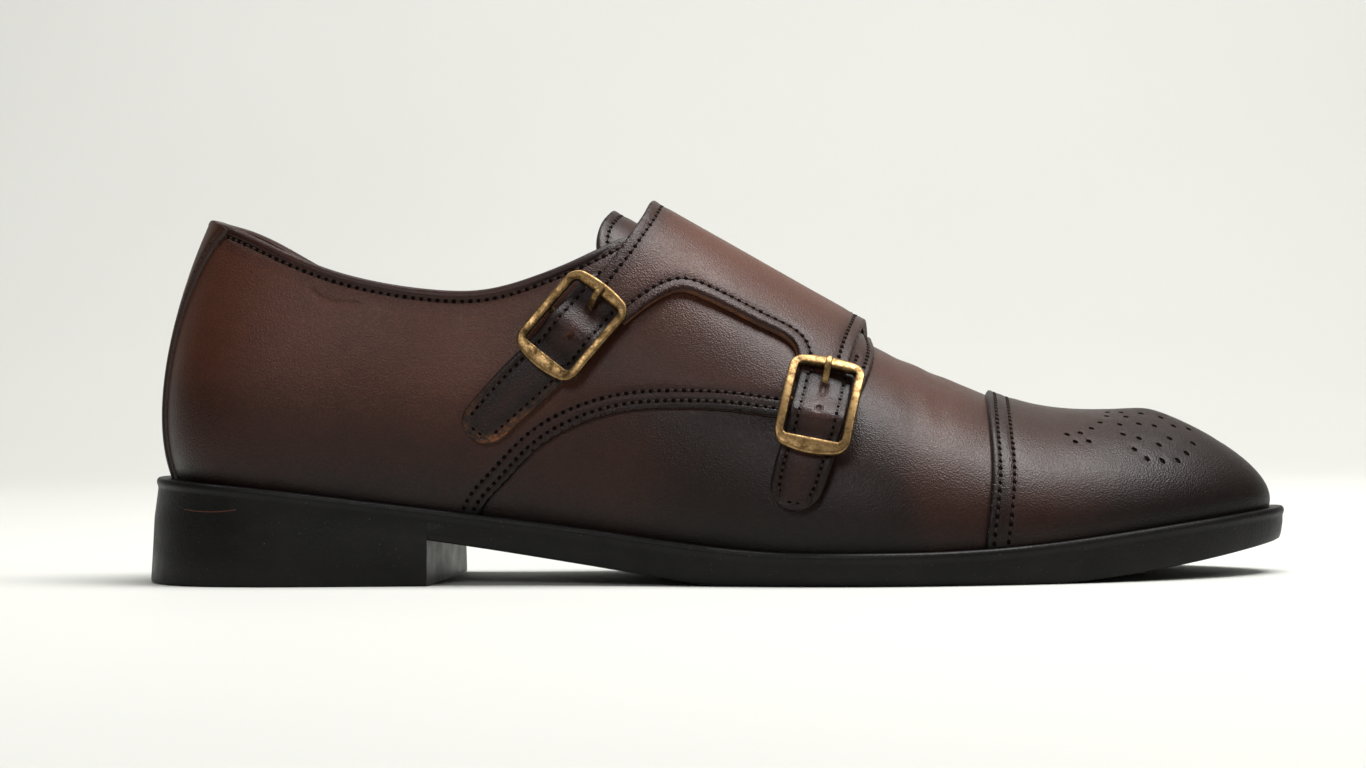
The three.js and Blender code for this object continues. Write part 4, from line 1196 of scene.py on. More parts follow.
def sew_row(place, high):
    """Stitches on a panel's row, lying in its groove."""
    row = resample(place, STITCH_PITCH / 2)
    side, t, v = row.T
    lift = high(side, t, v) - GROOVE - 0.02
    sewing.sew(skin(side, t, v, lift), last_normal(side, t, v), 0.0)


# ---------------------------------------------------------------------------------------------
# Sole and heel, one moulded piece
# ---------------------------------------------------------------------------------------------
BALL_BACK = 152.0
BALL_FRONT = 240.0
WAIST_SLOPE = 0.16
TOE_SPRING = 8.7
BREAST = 78.4
HEEL_FLARE = 1.9
WALL_DRAFT = 0.9
CENTRE = 200.0


def underside(x):
    waist = np.minimum(WAIST_SLOPE * (BALL_BACK - x), seat(x) - 8)
    toe = TOE_SPRING * (np.maximum(x - BALL_FRONT, 0) / (LENGTH - 2 - BALL_FRONT))**1.35
    return np.where(x < BALL_BACK, waist, toe)


def wall_draft(x):
    return WALL_DRAFT * (1 - 1.5 * ease((98 - x) / 20))


# Rows of the wall from the underside's middle to the seat's: inset from the sole's edge, height
HEEL_ROWS = [
    (lambda x: CENTRE, lambda x: 0 * x),
    (lambda x: 4.0, lambda x: 0 * x),
    (lambda x: -HEEL_FLARE + 0.9, lambda x: 0 * x),
    (lambda x: -HEEL_FLARE + 0.2, lambda x: 0.25 + 0 * x),
    (lambda x: -HEEL_FLARE, lambda x: 0.9 + 0 * x),
    (lambda x: -HEEL_FLARE * 0.72, lambda x: 0.30 * seat(x)),
    (lambda x: -HEEL_FLARE * 0.42, lambda x: 0.62 * seat(x)),
]
SOLE_ROWS = [
    (lambda x: CENTRE, underside),
    (lambda x: 6.0, underside),
    (lambda x: wall_draft(x) + 1.1, underside),
    (lambda x: wall_draft(x) + 0.3, lambda x: underside(x) + 0.3),
    (wall_draft, lambda x: underside(x) + 1.0),
    (lambda x: wall_draft(x) * 0.75, lambda x: underside(x) * 0.7 + seat(x) * 0.3 - 0.6),
    (lambda x: wall_draft(x) * 0.35, lambda x: underside(x) * 0.35 + seat(x) * 0.65 - 1.4),
]
LIP_ROWS = [
    (lambda x: 0.28, lambda x: seat(x) - 3.0),
    (lambda x: 0.22, lambda x: seat(x) - 2.3),
    (lambda x: -0.02, lambda x: seat(x) - 1.9),
    (lambda x: -0.10, lambda x: seat(x) - 1.3),
    (lambda x: 0.05, lambda x: seat(x) - 0.6),
    (lambda x: 0.40, lambda x: seat(x) - 0.18),
    (lambda x: 0.95, lambda x: seat(x) - 0.02),
    (lambda x: 2.6, lambda x: seat(x) - 0.1),
    (lambda x: CENTRE, seat),
]


def loft_points(side, stations, rows):
    """Places of a flat loft on the plan of the sole, stations by rows."""
    sides = np.full_like(stations, side)
    x, y, dx, dy = rib(sides, stations)[:4]
    reach = rib(sides, stations)[12]
    edge_x = x + dx * reach
    made = []
    for inset, height in rows:
        r = np.maximum(reach - inset(edge_x), 0)
        px = x + dx * r
        made.append(np.stack([px, y + dy * r, height(px)], -1))
    return np.stack(made, 1)


def closed_loft(name, halves, materials, fields=None, sharp=35):
    """Both halves of a loft welded along the middle, as one closed piece."""
    points = []
    faces = []
    for side, half in halves:
        start = sum(len(p) for p in points)
        rows, columns = half.shape[:2]
        found = grid_faces(rows, columns) + start
        faces.append(found if side < 0 else found[:, ::-1])
        points.append(half.reshape(-1, 3))
    points = np.vstack(points)
    faces = np.vstack(faces)
    keys = np.round(points / 0.01).astype(np.int64)
    _, first, back = np.unique(keys, axis=0, return_index=True, return_inverse=True)
    faces = first[np.asarray(back).ravel()[faces]]
    a, b, c = faces.T
    faces = faces[(a != b) & (b != c) & (c != a)]
    used, renumbered = np.unique(faces, return_inverse=True)
    values = {key: value(points[used]) for key, value in (fields or {}).items()}
    return shoe_mesh(name, points[used], renumbered.reshape(faces.shape), None, materials, values, sharp)


def make_sole():
    heel_stations = np.concatenate([np.linspace(0, HEEL_FAN, 74)[:-1], np.linspace(HEEL_FAN, BREAST, 12)])
    sole_stations = np.concatenate([np.linspace(BREAST, TOE_FAN, 74)[:-1], np.linspace(TOE_FAN, LENGTH, 84)])
    halves = []
    for side in (LATERAL, MEDIAL):
        heel = loft_points(side, heel_stations, HEEL_ROWS + LIP_ROWS)
        sole = loft_points(side, sole_stations, SOLE_ROWS + LIP_ROWS)
        halves.append((side, np.concatenate([heel, sole])))
    piece = closed_loft("moulded_sole", halves, [RUBBER])
    return put_on(piece, "sole_rubber", "sole_and_heel")


def make_insole():
    rows = [
        (lambda x: CENTRE, lambda x: seat(x) + GAP),
        (lambda x: inset_of(x) + SHELL + 1.2, lambda x: seat(x) + GAP),
        (lambda x: inset_of(x) + SHELL + 1.1, lambda x: seat(x) + GAP + INSOLE - 0.5),
        (lambda x: inset_of(x) + SHELL + 1.6, lambda x: seat(x) + GAP + INSOLE),
        (lambda x: inset_of(x) + 9.0, lambda x: seat(x) + GAP + INSOLE - 0.5),
        (lambda x: CENTRE, lambda x: seat(x) + GAP + INSOLE - 0.9),
    ]
    stations = np.concatenate([np.linspace(0, HEEL_FAN, 40)[:-1], np.linspace(HEEL_FAN, LENGTH, 90)])
    halves = [(side, loft_points(side, stations, rows)) for side in (LATERAL, MEDIAL)]
    piece = closed_loft("sock", halves, [LINING])
    return put_on(piece, "insole_leather", "insole")


# ---------------------------------------------------------------------------------------------
# Vamp and lining
# ---------------------------------------------------------------------------------------------
THROAT = np.array([
    [118, -17], [134, -9], [174, -7], [178, 2], [174, 11], [134, 11], [118, 18],
], float)


def make_dome(name, stations, steps, low, high, materials, open_collar):
    """A layer over the whole last between two stations, open at the throat and the collar."""
    s = np.concatenate([steps - 1, (1 - steps)[::-1][1:]])
    tt, ss = np.meshgrid(stations, s, indexing="ij")
    place = unsigned(np.stack([tt.ravel(), ss.ravel()], -1))
    columns = len(s)
    if open_collar:
        count = len(steps)
        grid = place.reshape(len(stations), columns, 3)
        for k, side in ((slice(0, count - 1), LATERAL), (slice(count, columns), MEDIAL)):
            sides = np.full_like(stations, side)
            edge = climb_to(sides, stations, topline_height(side), still(0.5))
            stretch = np.where(stations > 134, 1.0, edge / steps[-2])
            grid[:, k, 2] *= stretch[:, None]
    side, t, v = place.T
    top = skin(side, t, v, high(side, t, v))
    under = skin(side, t, v, low(side, t, v))
    tuck_foot((top, under), v)
    faces = grid_faces(len(stations), columns)
    centres = top[faces].mean(1)
    throat = inside(centres[:, :2], THROAT) & (centres[:, 2] > 45)
    across = np.abs(s[faces % columns]).max(1) < 1e-9
    faces = faces[~throat & ~across]
    if open_collar:
        over_collar = np.isclose(np.abs(s[faces % columns]), 0).any(1) & (t[faces] < 137).any(1)
        faces = faces[~over_collar]
    far = np.full(len(top), FAR_FROM_EDGE)
    fields = {"tone": burnish_and_painted_light(top), "edge": far, "sewn": far}
    return closed_layer(name, top, under, faces, materials, fields)


def make_vamp():
    stations = np.concatenate([np.linspace(84, TOE_FAN, 100)[:-1], np.linspace(TOE_FAN, LENGTH, 50)])
    piece = make_dome("drawn_vamp", stations, np.linspace(0, 1, 56), still(-0.75), vamp_surface,
                      [VAMP_LEATHER], True)
    return put_on(piece, "vamp_leather", "upper")


def vamp_surface(side, t, v):
    """The vamp gives a little: two soft folds behind the cap and a broad dip on its side."""
    folds = np.zeros_like(t)
    for centre, lean, depth, width in ((203, 9, 0.22, 2.6), (210.5, 6, 0.16, 2.2)):
        line = centre - lean * (v - 0.55)
        folds -= depth * np.exp(-((t - line) / width)**2) * ease((v - 0.35) / 0.3)
        folds += depth * 0.6 * np.exp(-((t - line - width * 1.8) / width)**2) * ease((v - 0.35) / 0.3)
    dip = np.exp(-((t - 172) / 22)**2 - ((v - 0.3) / 0.16)**2)
    return folds - 0.5 * dip


def make_lining():
    stations = np.linspace(0, 200, 130)
    piece = make_dome("lining", stations, np.linspace(0, 1, 40), still(-1.55), still(-0.8),
                      [LINING], True)
    return put_on(piece, "insole_leather")


# ---------------------------------------------------------------------------------------------
# Quarters, flap, toe cap and tongue
# ---------------------------------------------------------------------------------------------
QUARTER_HIGH = GAP + PANEL
ROW_NEAR = 2.0
ROW_FAR = 4.6
TOPLINE_ROW = 2.5
FLAP_ROW = 3.1
CAP_ROWS = (2.0, 5.6)
TONGUE_ROW = 2.8


def to_ridge(place):
    """A side edge carried on to the ridge, without the places that press against it."""
    place = place[place[:, 2] < 0.975]
    end = place[-1].copy()
    end[2] = 1.0
    end[1] += place[-1, 1] - place[-2, 1]
    return np.vstack([place, end])


def between(first, middle, last):
    return np.vstack([first[-1:], *middle, last[:1]])


def row_beside(panel, line, distance, left, high, skip=(0, 0)):
    """Sews a row beside an edge, at a distance in from it."""
    row = moved_in(resample(line, 0.7), distance, left)
    row = row[skip[0]:len(row) - skip[1]]
    row = resample(row[row[:, 2] > 0.01], STITCH_PITCH / 2)
    panel.rows.append(row)
    sew_row(row, high)
    return row


def quarter_high(side, t, v):
    """The outer quarter's face, with the soft hollows of leather drawn over the heel and waist."""
    face = np.full_like(t, QUARTER_HIGH)
    face -= 0.85 * np.exp(-((t - 88) / 17)**2 - ((v - 0.42) / 0.11)**2)
    face += 0.40 * np.exp(-((t - 62) / 18)**2 - ((v - 0.32) / 0.12)**2)
    face -= 0.30 * np.exp(-((t - 128) / 14)**2 - ((v - 0.55) / 0.12)**2)
    return face


def make_outer_quarter():
    panel = Panel("stitched_outer_quarter", side_chart, (0, 196), (-1.0, 0.0))
    edge = on_side(LATERAL, smooth_line(OUTER_QUARTER, 220), quarter_high)
    edge = to_ridge(starting_at_foot(edge))
    collar = topline(LATERAL, 131.0, quarter_high)[::-1]
    throat = on_plan([[176, -4], [172, -7], [150, -8.4], [138, -9.5]])
    heel = station_line(LATERAL, 0.0, collar[-1, 2], 0.0)
    heel[:, 1] = 0
    panel.line(foot_line(LATERAL, 0, edge[0, 1]), False)
    panel.line(edge)
    panel.line(between(edge, [throat], collar), False)
    panel.line(collar)
    panel.line(between(collar, [heel[1:-1]], foot_line(LATERAL, 0, 90)), False)
    row_beside(panel, edge, ROW_NEAR, True, quarter_high)
    row_beside(panel, edge, ROW_FAR, True, quarter_high, (0, 34))
    row_beside(panel, collar, TOPLINE_ROW, True, quarter_high)
    fold_t, fold_height = smooth_line([[48, 76.6], [51, 74.6], [55, 73.4], [60, 73.2]], 30).T
    fold_side = np.full_like(fold_t, LATERAL)
    fold_v = climb_to(fold_side, fold_t, lambda _: fold_height, quarter_high)
    panel.creases.append((np.stack([fold_side, fold_t, fold_v], -1), 0.2, 0.7))
    piece = panel.build(still(0.03), quarter_high, [QUARTER_LEATHER, DARK_EDGE], burnish_and_painted_light, 0.95)
    return put_on(piece, "quarter_leather", "outer_quarter")


def make_inner_quarter():
    panel = Panel("inner_quarter_and_flap", side_chart, (0, 196), (-0.8, 1.0))
    lower = on_side(MEDIAL, smooth_line(INNER_QUARTER, 220), flap_high)
    lower = to_ridge(starting_at_foot(lower))
    front = on_side(LATERAL, smooth_line(FLAP_FRONT_EDGE, 60), flap_high)
    front = to_ridge(front)[::-1]
    front[0] = lower[-1]
    front[0, 0] = LATERAL
    under = on_side(LATERAL, smooth_line(FLAP_LOWER_EDGE, 120), flap_high)[::-1]
    back = on_side(LATERAL, smooth_line(FLAP_BACK_EDGE[::-1], 80), flap_high)
    back = to_ridge(back)
    collar = topline(MEDIAL, 131.6, flap_high)[::-1]
    heel = station_line(MEDIAL, 0.0, collar[-1, 2], 0.0)
    panel.line(foot_line(MEDIAL, 0, lower[0, 1]), False)
    panel.line(lower)
    panel.line(front)
    panel.line(between(front, [], under), False)
    panel.line(under)
    panel.line(between(under, [], back), False)
    panel.line(back)
    start = back[-1:].copy()
    start[0, 0] = MEDIAL
    panel.line(np.vstack([start, collar[:1]]))
    panel.line(collar)
    panel.line(between(collar, [heel[1:-1]], foot_line(MEDIAL, 0, 90)), False)
    row_beside(panel, lower, ROW_NEAR, False, flap_high)
    row_beside(panel, lower, ROW_FAR, False, flap_high)
    row_beside(panel, front, FLAP_ROW, False, flap_high)
    row_beside(panel, under, FLAP_ROW, False, flap_high)
    row_beside(panel, back, FLAP_ROW, False, flap_high)
    row_beside(panel, collar, TOPLINE_ROW, False, flap_high)
    piece = panel.build(flap_low, flap_high, [FLAP_LEATHER, CUT_EDGE], burnish_and_painted_light, 0.75)
    return put_on(piece, "strap_leather", "inner_quarter_and_straps")


# The medallion: holes by their place ahead of the cap's middle and out from it, on both sides
MEDALLION_MIDDLE = (262.0, 4.0)
MEDALLION = [
    (-19.5, 25.5), (-16.0, 23.5), (-13.0, 20.0), (-10.5, 15.5), (-8.5, 10.0), (-8.0, 6.0),
    (-17.5, 28.0), (-14.0, 26.5), (-5.5, 15.0), (-3.5, 9.0), (-4.5, 5.5), (-0.5, 12.5), (0.5, 5.0),
    (3.5, 11.5), (5.5, 5.0), (8.5, 8.0), (12.5, 6.0), (-5.0, 20.0), (-1.0, 20.0), (-2.5, 25.0),
    (0.5, 26.5), (4.5, 25.0), (8.5, 22.5), (11.0, 18.5), (13.0, 13.0), (7.0, 15.5), (4.0, 20.0),
    (20.5, 0.0),
]
HOLE_RADIUS = 0.76


def medallion_holes():
    holes = []
    for ahead, aside in MEDALLION:
        for sign in ((1, -1) if aside > 0.3 else (1,)):
            angle = np.linspace(0, 2 * math.pi, 11)[:-1]
            ring = np.stack([MEDALLION_MIDDLE[0] + ahead + HOLE_RADIUS * np.cos(angle),
                             MEDALLION_MIDDLE[1] + sign * aside + HOLE_RADIUS * np.sin(angle)], -1)
            holes.append(on_plan(ring))
    return holes


def darken_holes():
    """Painted shade in each punched hole, as a dark low bead on the vamp."""
    middles = [[MEDALLION_MIDDLE[0] + ahead, MEDALLION_MIDDLE[1] + sign * aside]
               for ahead, aside in MEDALLION for sign in ((1, -1) if aside > 0.3 else (1,))]
    side, t, v = on_plan(middles).T
    points = skin(side, t, v, np.full_like(t, QUARTER_HIGH - 0.75))
    outward = last_normal(side, t, v)
    ahead = np.tile([1.0, 0.0, 0.0], (len(points), 1))
    beads = instanced("painted_hole_shade", points, ahead, outward, (1.62, 1.62, 0.9), 0.02, 3, NEEDLE_SHADE)
    put_on(beads, "toe_cap_leather")


def cap_high(side, t, v):
    return np.full_like(t, QUARTER_HIGH)


def make_toe_cap():
    panel = Panel("punched_toe_cap", toe_chart, (219, 300), (-1.0, 1.0), 1.5)
    sides = []
    for side in (LATERAL, MEDIAL):
        edge = on_side(side, smooth_line(CAP_EDGE[::-1], 160), cap_high)
        sides.append(to_ridge(starting_at_foot(edge)))
    lateral, medial = sides
    medial[-1] = lateral[-1]
    medial[-1, 0] = MEDIAL
    panel.line(lateral[::-1])
    panel.line(foot_line(LATERAL, lateral[0, 1], 300), False)
    panel.line(foot_line(MEDIAL, 300, medial[0, 1]), False)
    panel.line(medial)
    for distance in CAP_ROWS:
        row = np.vstack([moved_in(resample(lateral, 0.7), distance, False),
                         moved_in(resample(medial, 0.7), distance, True)[::-1][1:]])
        row = resample(row[row[:, 2] > 0.01], STITCH_PITCH / 2)
        panel.rows.append(row)
        sew_row(row, cap_high)
    panel.holes = medallion_holes()
    piece = panel.build(still(0.03), cap_high, [CAP_LEATHER, DARK_EDGE], burnish_and_painted_light, 1.0)
    return put_on(piece, "toe_cap_leather", "toe_cap")


TONGUE_LIFT = -SHELL - 2 * GAP - TONGUE


def make_tongue():
    panel = Panel("stitched_tongue", side_chart, (118, 192), (-0.6, 0.6), 1.4)
    outline = smooth_line(TONGUE_PLAN + TONGUE_PLAN[:1], 260)
    places = on_plan(outline)
    panel.line(places[:-1])
    panel.line(np.vstack([places[-2:-1], places[:1]]))
    high = still(TONGUE_LIFT + TONGUE)
    row_beside(panel, places, TONGUE_ROW, False, high)
    piece = panel.build(still(TONGUE_LIFT), high, [TONGUE_LEATHER, DARK_EDGE], burnish_and_painted_light, 0.8)
    return put_on(piece, "tongue_leather", "tongue")


# ---------------------------------------------------------------------------------------------
# Backstay and topline binding
# ---------------------------------------------------------------------------------------------
BACKSTAY_HALF = np.array([[11.6, 20], [10.8, 40], [10.8, 60], [12.2, 76], [14.6, 90], [15.8, 97]], float)


BACKSTAY_ROW = 1.7
BACKSTAY_SINK = 0.25


def beside_heel_seam(side, v, target, c):
    """Stations at which the heel's surface is a distance out from its middle line."""
    near = np.zeros_like(v)
    far = np.full_like(v, 40.0)
    for _ in range(30):
        t = (near + far) / 2
        reached = np.abs(skin(side, t, v, np.full_like(t, 2.6))[:, 1]) < target
        near = np.where(reached, t, near)
        far = np.where(reached, far, t)
    return np.where(np.abs(c) < 1e-6, 0, (near + far) / 2)


def make_backstay():
    half = spline(BACKSTAY_HALF[:, 1], BACKSTAY_HALF[:, 0])
    rim = np.array([0.74, 0.78, 0.82, 0.86, 0.9, 0.95, 0.985, 1])
    across = np.concatenate([-rim[::-1], np.linspace(-0.66, 0.66, 21), rim])
    steps = np.linspace(0, 1, 90)
    share, c = (part.ravel() for part in np.meshgrid(steps, across, indexing="ij"))
    side = np.where(c < 0, LATERAL, MEDIAL)
    top_step = np.full_like(c, climb_to(np.array([LATERAL]), np.array([0.0]), topline_height(LATERAL),
                                        still(2.6))[0])
    for _ in range(2):
        v = share * top_step
        target = np.abs(c) * half(last_point(np.full_like(v, LATERAL), 0 * v, v)[:, 2])
        t = beside_heel_seam(side, v, target, c)
        end_side = side[-len(across):]
        end_t = t[-len(across):]
        ends = np.empty(len(across))
        for on in (LATERAL, MEDIAL):
            picked = end_side == on
            ends[picked] = climb_to(end_side[picked], end_t[picked], topline_height(on), still(2.6))
        top_step = np.tile(ends, len(steps))
    edge = target * (1 / np.maximum(np.abs(c), 0.02) - 1)
    edge = np.minimum(edge, 8)
    lift = OUTER_STACK - BACKSTAY_SINK + BACKSTAY - edge_radius_profile(edge, 0.6) * 0.6
    groove = np.exp(-((edge - BACKSTAY_ROW) / 0.5)**2)
    lift -= 0.24 * groove
    top = skin(side, t, v, lift)
    under = skin(side, t, v, np.full_like(t, QUARTER_HIGH - 0.4))
    tuck_foot((top, under), v)
    fields = {"tone": burnish_and_painted_light(top) + 0.05, "edge": edge, "sewn": np.abs(edge - BACKSTAY_ROW)}
    piece = closed_layer("heel_strip", top, under, grid_faces(len(steps), len(across))[:, ::-1],
                         [BACKSTAY_LEATHER, DARK_EDGE], fields)
    for sign in (-1, 1):
        z = np.linspace(33, 91, 400)
        y = sign * (half(z) - BACKSTAY_ROW)
        sew_backstay(sign, y, z)
    return put_on(piece, "backstay_leather", "backstay")


def sew_backstay(sign, y, z):
    sides = np.full_like(z, LATERAL if sign < 0 else MEDIAL)
    t = np.full_like(z, 12.0)
    for _ in range(12):
        v = climb_to(sides, t, lambda _: z, still(2.6))
        p = skin(sides, t, v, np.full_like(t, 2.6))
        t = np.clip(t + (np.abs(y) - np.abs(p[:, 1])) * 0.7, 0.1, 50)
    row = resample(np.stack([sides, t, v], -1), STITCH_PITCH / 2)
    side, t, v = row.T
    lift = np.full_like(t, OUTER_STACK - BACKSTAY_SINK + BACKSTAY - 0.26)
    sewing.sew(skin(side, t, v, lift), last_normal(side, t, v), 0.0)


# Section of the binding: share of its breadth from the lining out, and height over the edge
BINDING_SECTION = np.array([
    [1.00, -1.75], [1.05, -1.45], [1.055, -0.7], [1.02, -0.1], [0.93, 0.28], [0.76, 0.48], [0.5, 0.56],
    [0.24, 0.48], [0.07, 0.26], [-0.02, -0.2], [-0.03, -1.0], [-0.01, -1.9], [0.10, -2.1],
    [0.5, -1.4], [0.90, -2.0],
])
LINING_FACE = -1.7


def make_binding():
    lateral = topline(LATERAL, 127.5, quarter_high)[::-1]
    medial = topline(MEDIAL, 131.0, flap_high)
    path = np.vstack([resample(lateral, 1.2), resample(medial, 1.2)[1:]])
    side, t, v = path.T
    outer = np.where(side < 0, quarter_high(side, t, v), flap_high(side, t, v))
    outer = np.where(t < 1.0, QUARTER_HIGH, outer)
    backstay_room = 1.15 * (1 - ease((t - 6.5) / 2.0))
    outer = outer + backstay_room
    fade = 1 - ease((t - 119) / 8) * (side < 0)
    normal = last_normal(side, t, v)
    base = skin(side, t, v, np.zeros_like(t))
    run = np.gradient(base, axis=0)
    run /= np.linalg.norm(run, axis=1, keepdims=True)
    up = np.cross(normal, run)
    up *= np.sign(up[:, 2:])
    up /= np.linalg.norm(up, axis=1, keepdims=True)
    share = BINDING_SECTION[:, 0][None, :, None]
    rise = BINDING_SECTION[:, 1][None, :, None]
    lift = LINING_FACE + (outer[:, None, None] - LINING_FACE) * (share * (0.9 + 0.1 * fade[:, None, None]))
    breadth = normal[:, None, :] * lift
    height = up[:, None, :] * rise * (0.6 + 0.4 * fade[:, None, None])
    points = base[:, None, :] + breadth + height
    rows, columns = points.shape[:2]
    faces = []
    for i in range(rows - 1):
        for j in range(columns):
            k = (j + 1) % columns
            faces.append((i * columns + j, (i + 1) * columns + j, (i + 1) * columns + k, i * columns + k))
    faces.append(tuple(range(columns)))
    faces.append(tuple((rows - 1) * columns + j for j in reversed(range(columns))))
    flat = points.reshape(-1, 3)
    fields = {"tone": burnish_and_painted_light(flat) - 0.06, "edge": np.full(len(flat), 4.0),
              "sewn": np.full(len(flat), FAR_FROM_EDGE)}
    piece = shoe_mesh("topline_binding", flat, faces, None, [BINDING_LEATHER], fields, 60)
    return put_on(piece, "quarter_leather")


# ---------------------------------------------------------------------------------------------
# Straps and buckles
# ---------------------------------------------------------------------------------------------
STRAPS = {
    "rear": {"start": (127.2, 77.6), "buckle": (116.7, 65.3), "end": (92.2, 36.4),
             "half": 7.2, "tip": 6.3, "bend": 2.6, "settle": 0.0, "hole": -1.4, "worn": 1.0},
    "front": {"start": (182.9, 58.0), "buckle": (179.8, 43.5), "end": (174.6, 19.0),
              "half": 7.0, "tip": 5.6, "bend": 1.7, "settle": 1.0, "hole": 1.6, "worn": 0.0},
}
BUCKLE_LENGTH = 23.8
BUCKLE_WIDTH = 19.5
BAR = 2.4
BAR_DEEP = 2.0
PIN = 1.7
PIN_LIFT = 3.6
FRAME_LIFT = OUTER_STACK + STRAP + 2 * GAP + BAR_DEEP / 2
HUMP = PIN_LIFT + PIN / 2 + GAP - OUTER_STACK
HUMP_LENGTH = 4.6
STRAP_ROW = 2.3


def unit(vector):
    return vector / np.linalg.norm(vector)


def seat_of(strap):
    """A buckle's seat: its middle, its directions along the strap, across and out, and its bend."""
    at_place = on_side(LATERAL, [strap["buckle"]], still(0.0))
    at = on_last(at_place)[0]
    normal = last_normal(*at_place.T)[0]
    heading = np.array([strap["start"][0] - strap["end"][0], 0, strap["start"][1] - strap["end"][1]])
    heading[1] = -(heading[0] * normal[0] + heading[2] * normal[2]) / normal[1]
    heading = unit(heading)
    reach = BUCKLE_LENGTH / 2
    ends = [on_last(on_side(LATERAL, [(at + heading * a)[[0, 2]]], still(0.0)))[0] for a in (-reach, reach)]
    along = unit(ends[1] - ends[0])
    across = unit(np.cross(normal, along))
    out = np.cross(along, across)
    drop = (at - (ends[0] + ends[1]) / 2) @ out
    return {"at": at, "along": along, "across": across, "out": out, "radius": reach**2 / (2 * drop)}


def buckle_map(strap):
    place = seat_of(strap)

    def mapped(a, b, h):
        turn = np.asarray(a, float) / place["radius"]
        rise = place["radius"] + np.asarray(h, float)
        along = (rise * np.sin(turn))[..., None] * place["along"]
        across = np.asarray(b, float)[..., None] * place["across"]
        out = (rise * np.cos(turn) - place["radius"])[..., None] * place["out"]
        return place["at"] + along + across + out

    return mapped


def strap_shape(strap, w):
    """Width, lift and distance from the buckle of a strap at shares of its length."""
    place = seat_of(strap)
    start = np.array(strap["start"])
    end = np.array(strap["end"])
    length = np.linalg.norm(end - start)
    to_buckle = np.linalg.norm(np.array(strap["buckle"]) - start)
    stretch = 1 / math.hypot(place["along"][0], place["along"][2])
    from_buckle = (to_buckle - w * length) * stretch
    from_end = (1 - w) * length * stretch
    taper = ease((from_buckle + 36) / 20)
    width = strap["tip"] + (strap["half"] - strap["tip"]) * taper
    round_end = np.sqrt(np.clip(1 - np.maximum(1 - from_end / width, 0)**2, 0.0009, 1))
    hump = HUMP * np.exp(-(from_buckle / HUMP_LENGTH)**2)
    settle = -strap["settle"] * ease((-from_buckle - BUCKLE_LENGTH / 2) / 14)
    return width, round_end, OUTER_STACK + hump + settle, from_buckle, from_end, length * stretch


def strap_places(strap, w, b, lift):
    place = seat_of(strap)
    start = np.array(strap["start"])
    end = np.array(strap["end"])
    aside = b + strap["bend"] * ease((w - 0.35) / 0.65)
    x = start[0] + (end[0] - start[0]) * w + place["across"][0] * aside
    z = start[1] + (end[1] - start[1]) * w + place["across"][2] * aside
    on = on_side(LATERAL, np.stack([x, z], -1), lambda side, t, v: lift)
    return skin(on[:, 0], on[:, 1], on[:, 2], lift), last_normal(*on.T)


def make_strap(name, strap):
    w = np.concatenate([np.linspace(0, 0.9, 92)[:-1], 1 - 0.1 * np.linspace(1, 0, 34)**1.6])
    aside = np.array([0.04, 0.09, 0.14, 0.2, 0.28, 0.4, 0.54, 0.60, 0.64, 0.68, 0.72, 0.78, 0.86,
                      0.92, 0.96, 0.985, 1])
    c = np.concatenate([-aside[::-1], [0], aside])
    ww, cc = np.meshgrid(w, c, indexing="ij")
    ww = ww.ravel()
    cc = cc.ravel()
    width, round_end, base, from_buckle, from_end, _ = strap_shape(strap, ww)
    root = 1 - ease(ww / 0.06)
    width = width * (1 - 0.3 * root)
    base = base - 0.6 * root
    b = cc * width * round_end
    side_edge = width * round_end * (1 - np.abs(cc))
    edge = np.minimum(side_edge, from_end)
    thickness = STRAP - 0.15
    lift = base + thickness - edge_radius_profile(edge, 0.7) * 0.7
    row_distance = np.abs(np.minimum(width - np.abs(b), from_end) - STRAP_ROW)
    lift -= 0.24 * np.exp(-(row_distance / 0.55)**2)
    hole_place = np.hypot(from_buckle - strap["hole"], b)
    lift -= 0.9 * np.exp(-(hole_place / 0.75)**2)
    hooked = np.hypot(np.maximum(np.abs(from_buckle - 7.2) - 0.9, 0), b)
    lift -= 0.7 * np.exp(-(hooked / 0.9)**2)
    top, _ = strap_places(strap, ww, b, lift)
    under, _ = strap_places(strap, ww, b, base)
    near_end = np.exp(-np.maximum(from_end - 6, 0) / 8)
    lower_side = 0.25 + 0.75 * ease((width * 0.5 - b) / width)
    worn = strap["worn"] * (1 - ease((edge - 1.4) / 1.8)) * near_end * lower_side
    in_hole = np.exp(-(hole_place / 0.7)**2)
    worn += 0.8 * in_hole * (strap["worn"] > 0)
    # Painted highlight on the strap's hump through the buckle, and painted shade in its punched hole.
    tone = 0.33 + 0.09 * np.exp(-((from_buckle - 1.0) / 8)**2) - 0.1 * in_hole
    fields = {"tone": tone, "edge": edge, "sewn": row_distance, "worn": worn}
    faces = grid_faces(len(w), len(c))
    centre = top.reshape(len(w), len(c), 3)
    normal = np.cross(centre[3, 17] - centre[2, 17], centre[2, 20] - centre[2, 17])
    if normal[1] > 0:
        faces = faces[:, ::-1]
    piece = closed_layer(name + "_strap", top, under, faces, [STRAP_LEATHER, CUT_EDGE], fields)
    sew_strap(strap)
    return put_on(piece, "strap_leather")


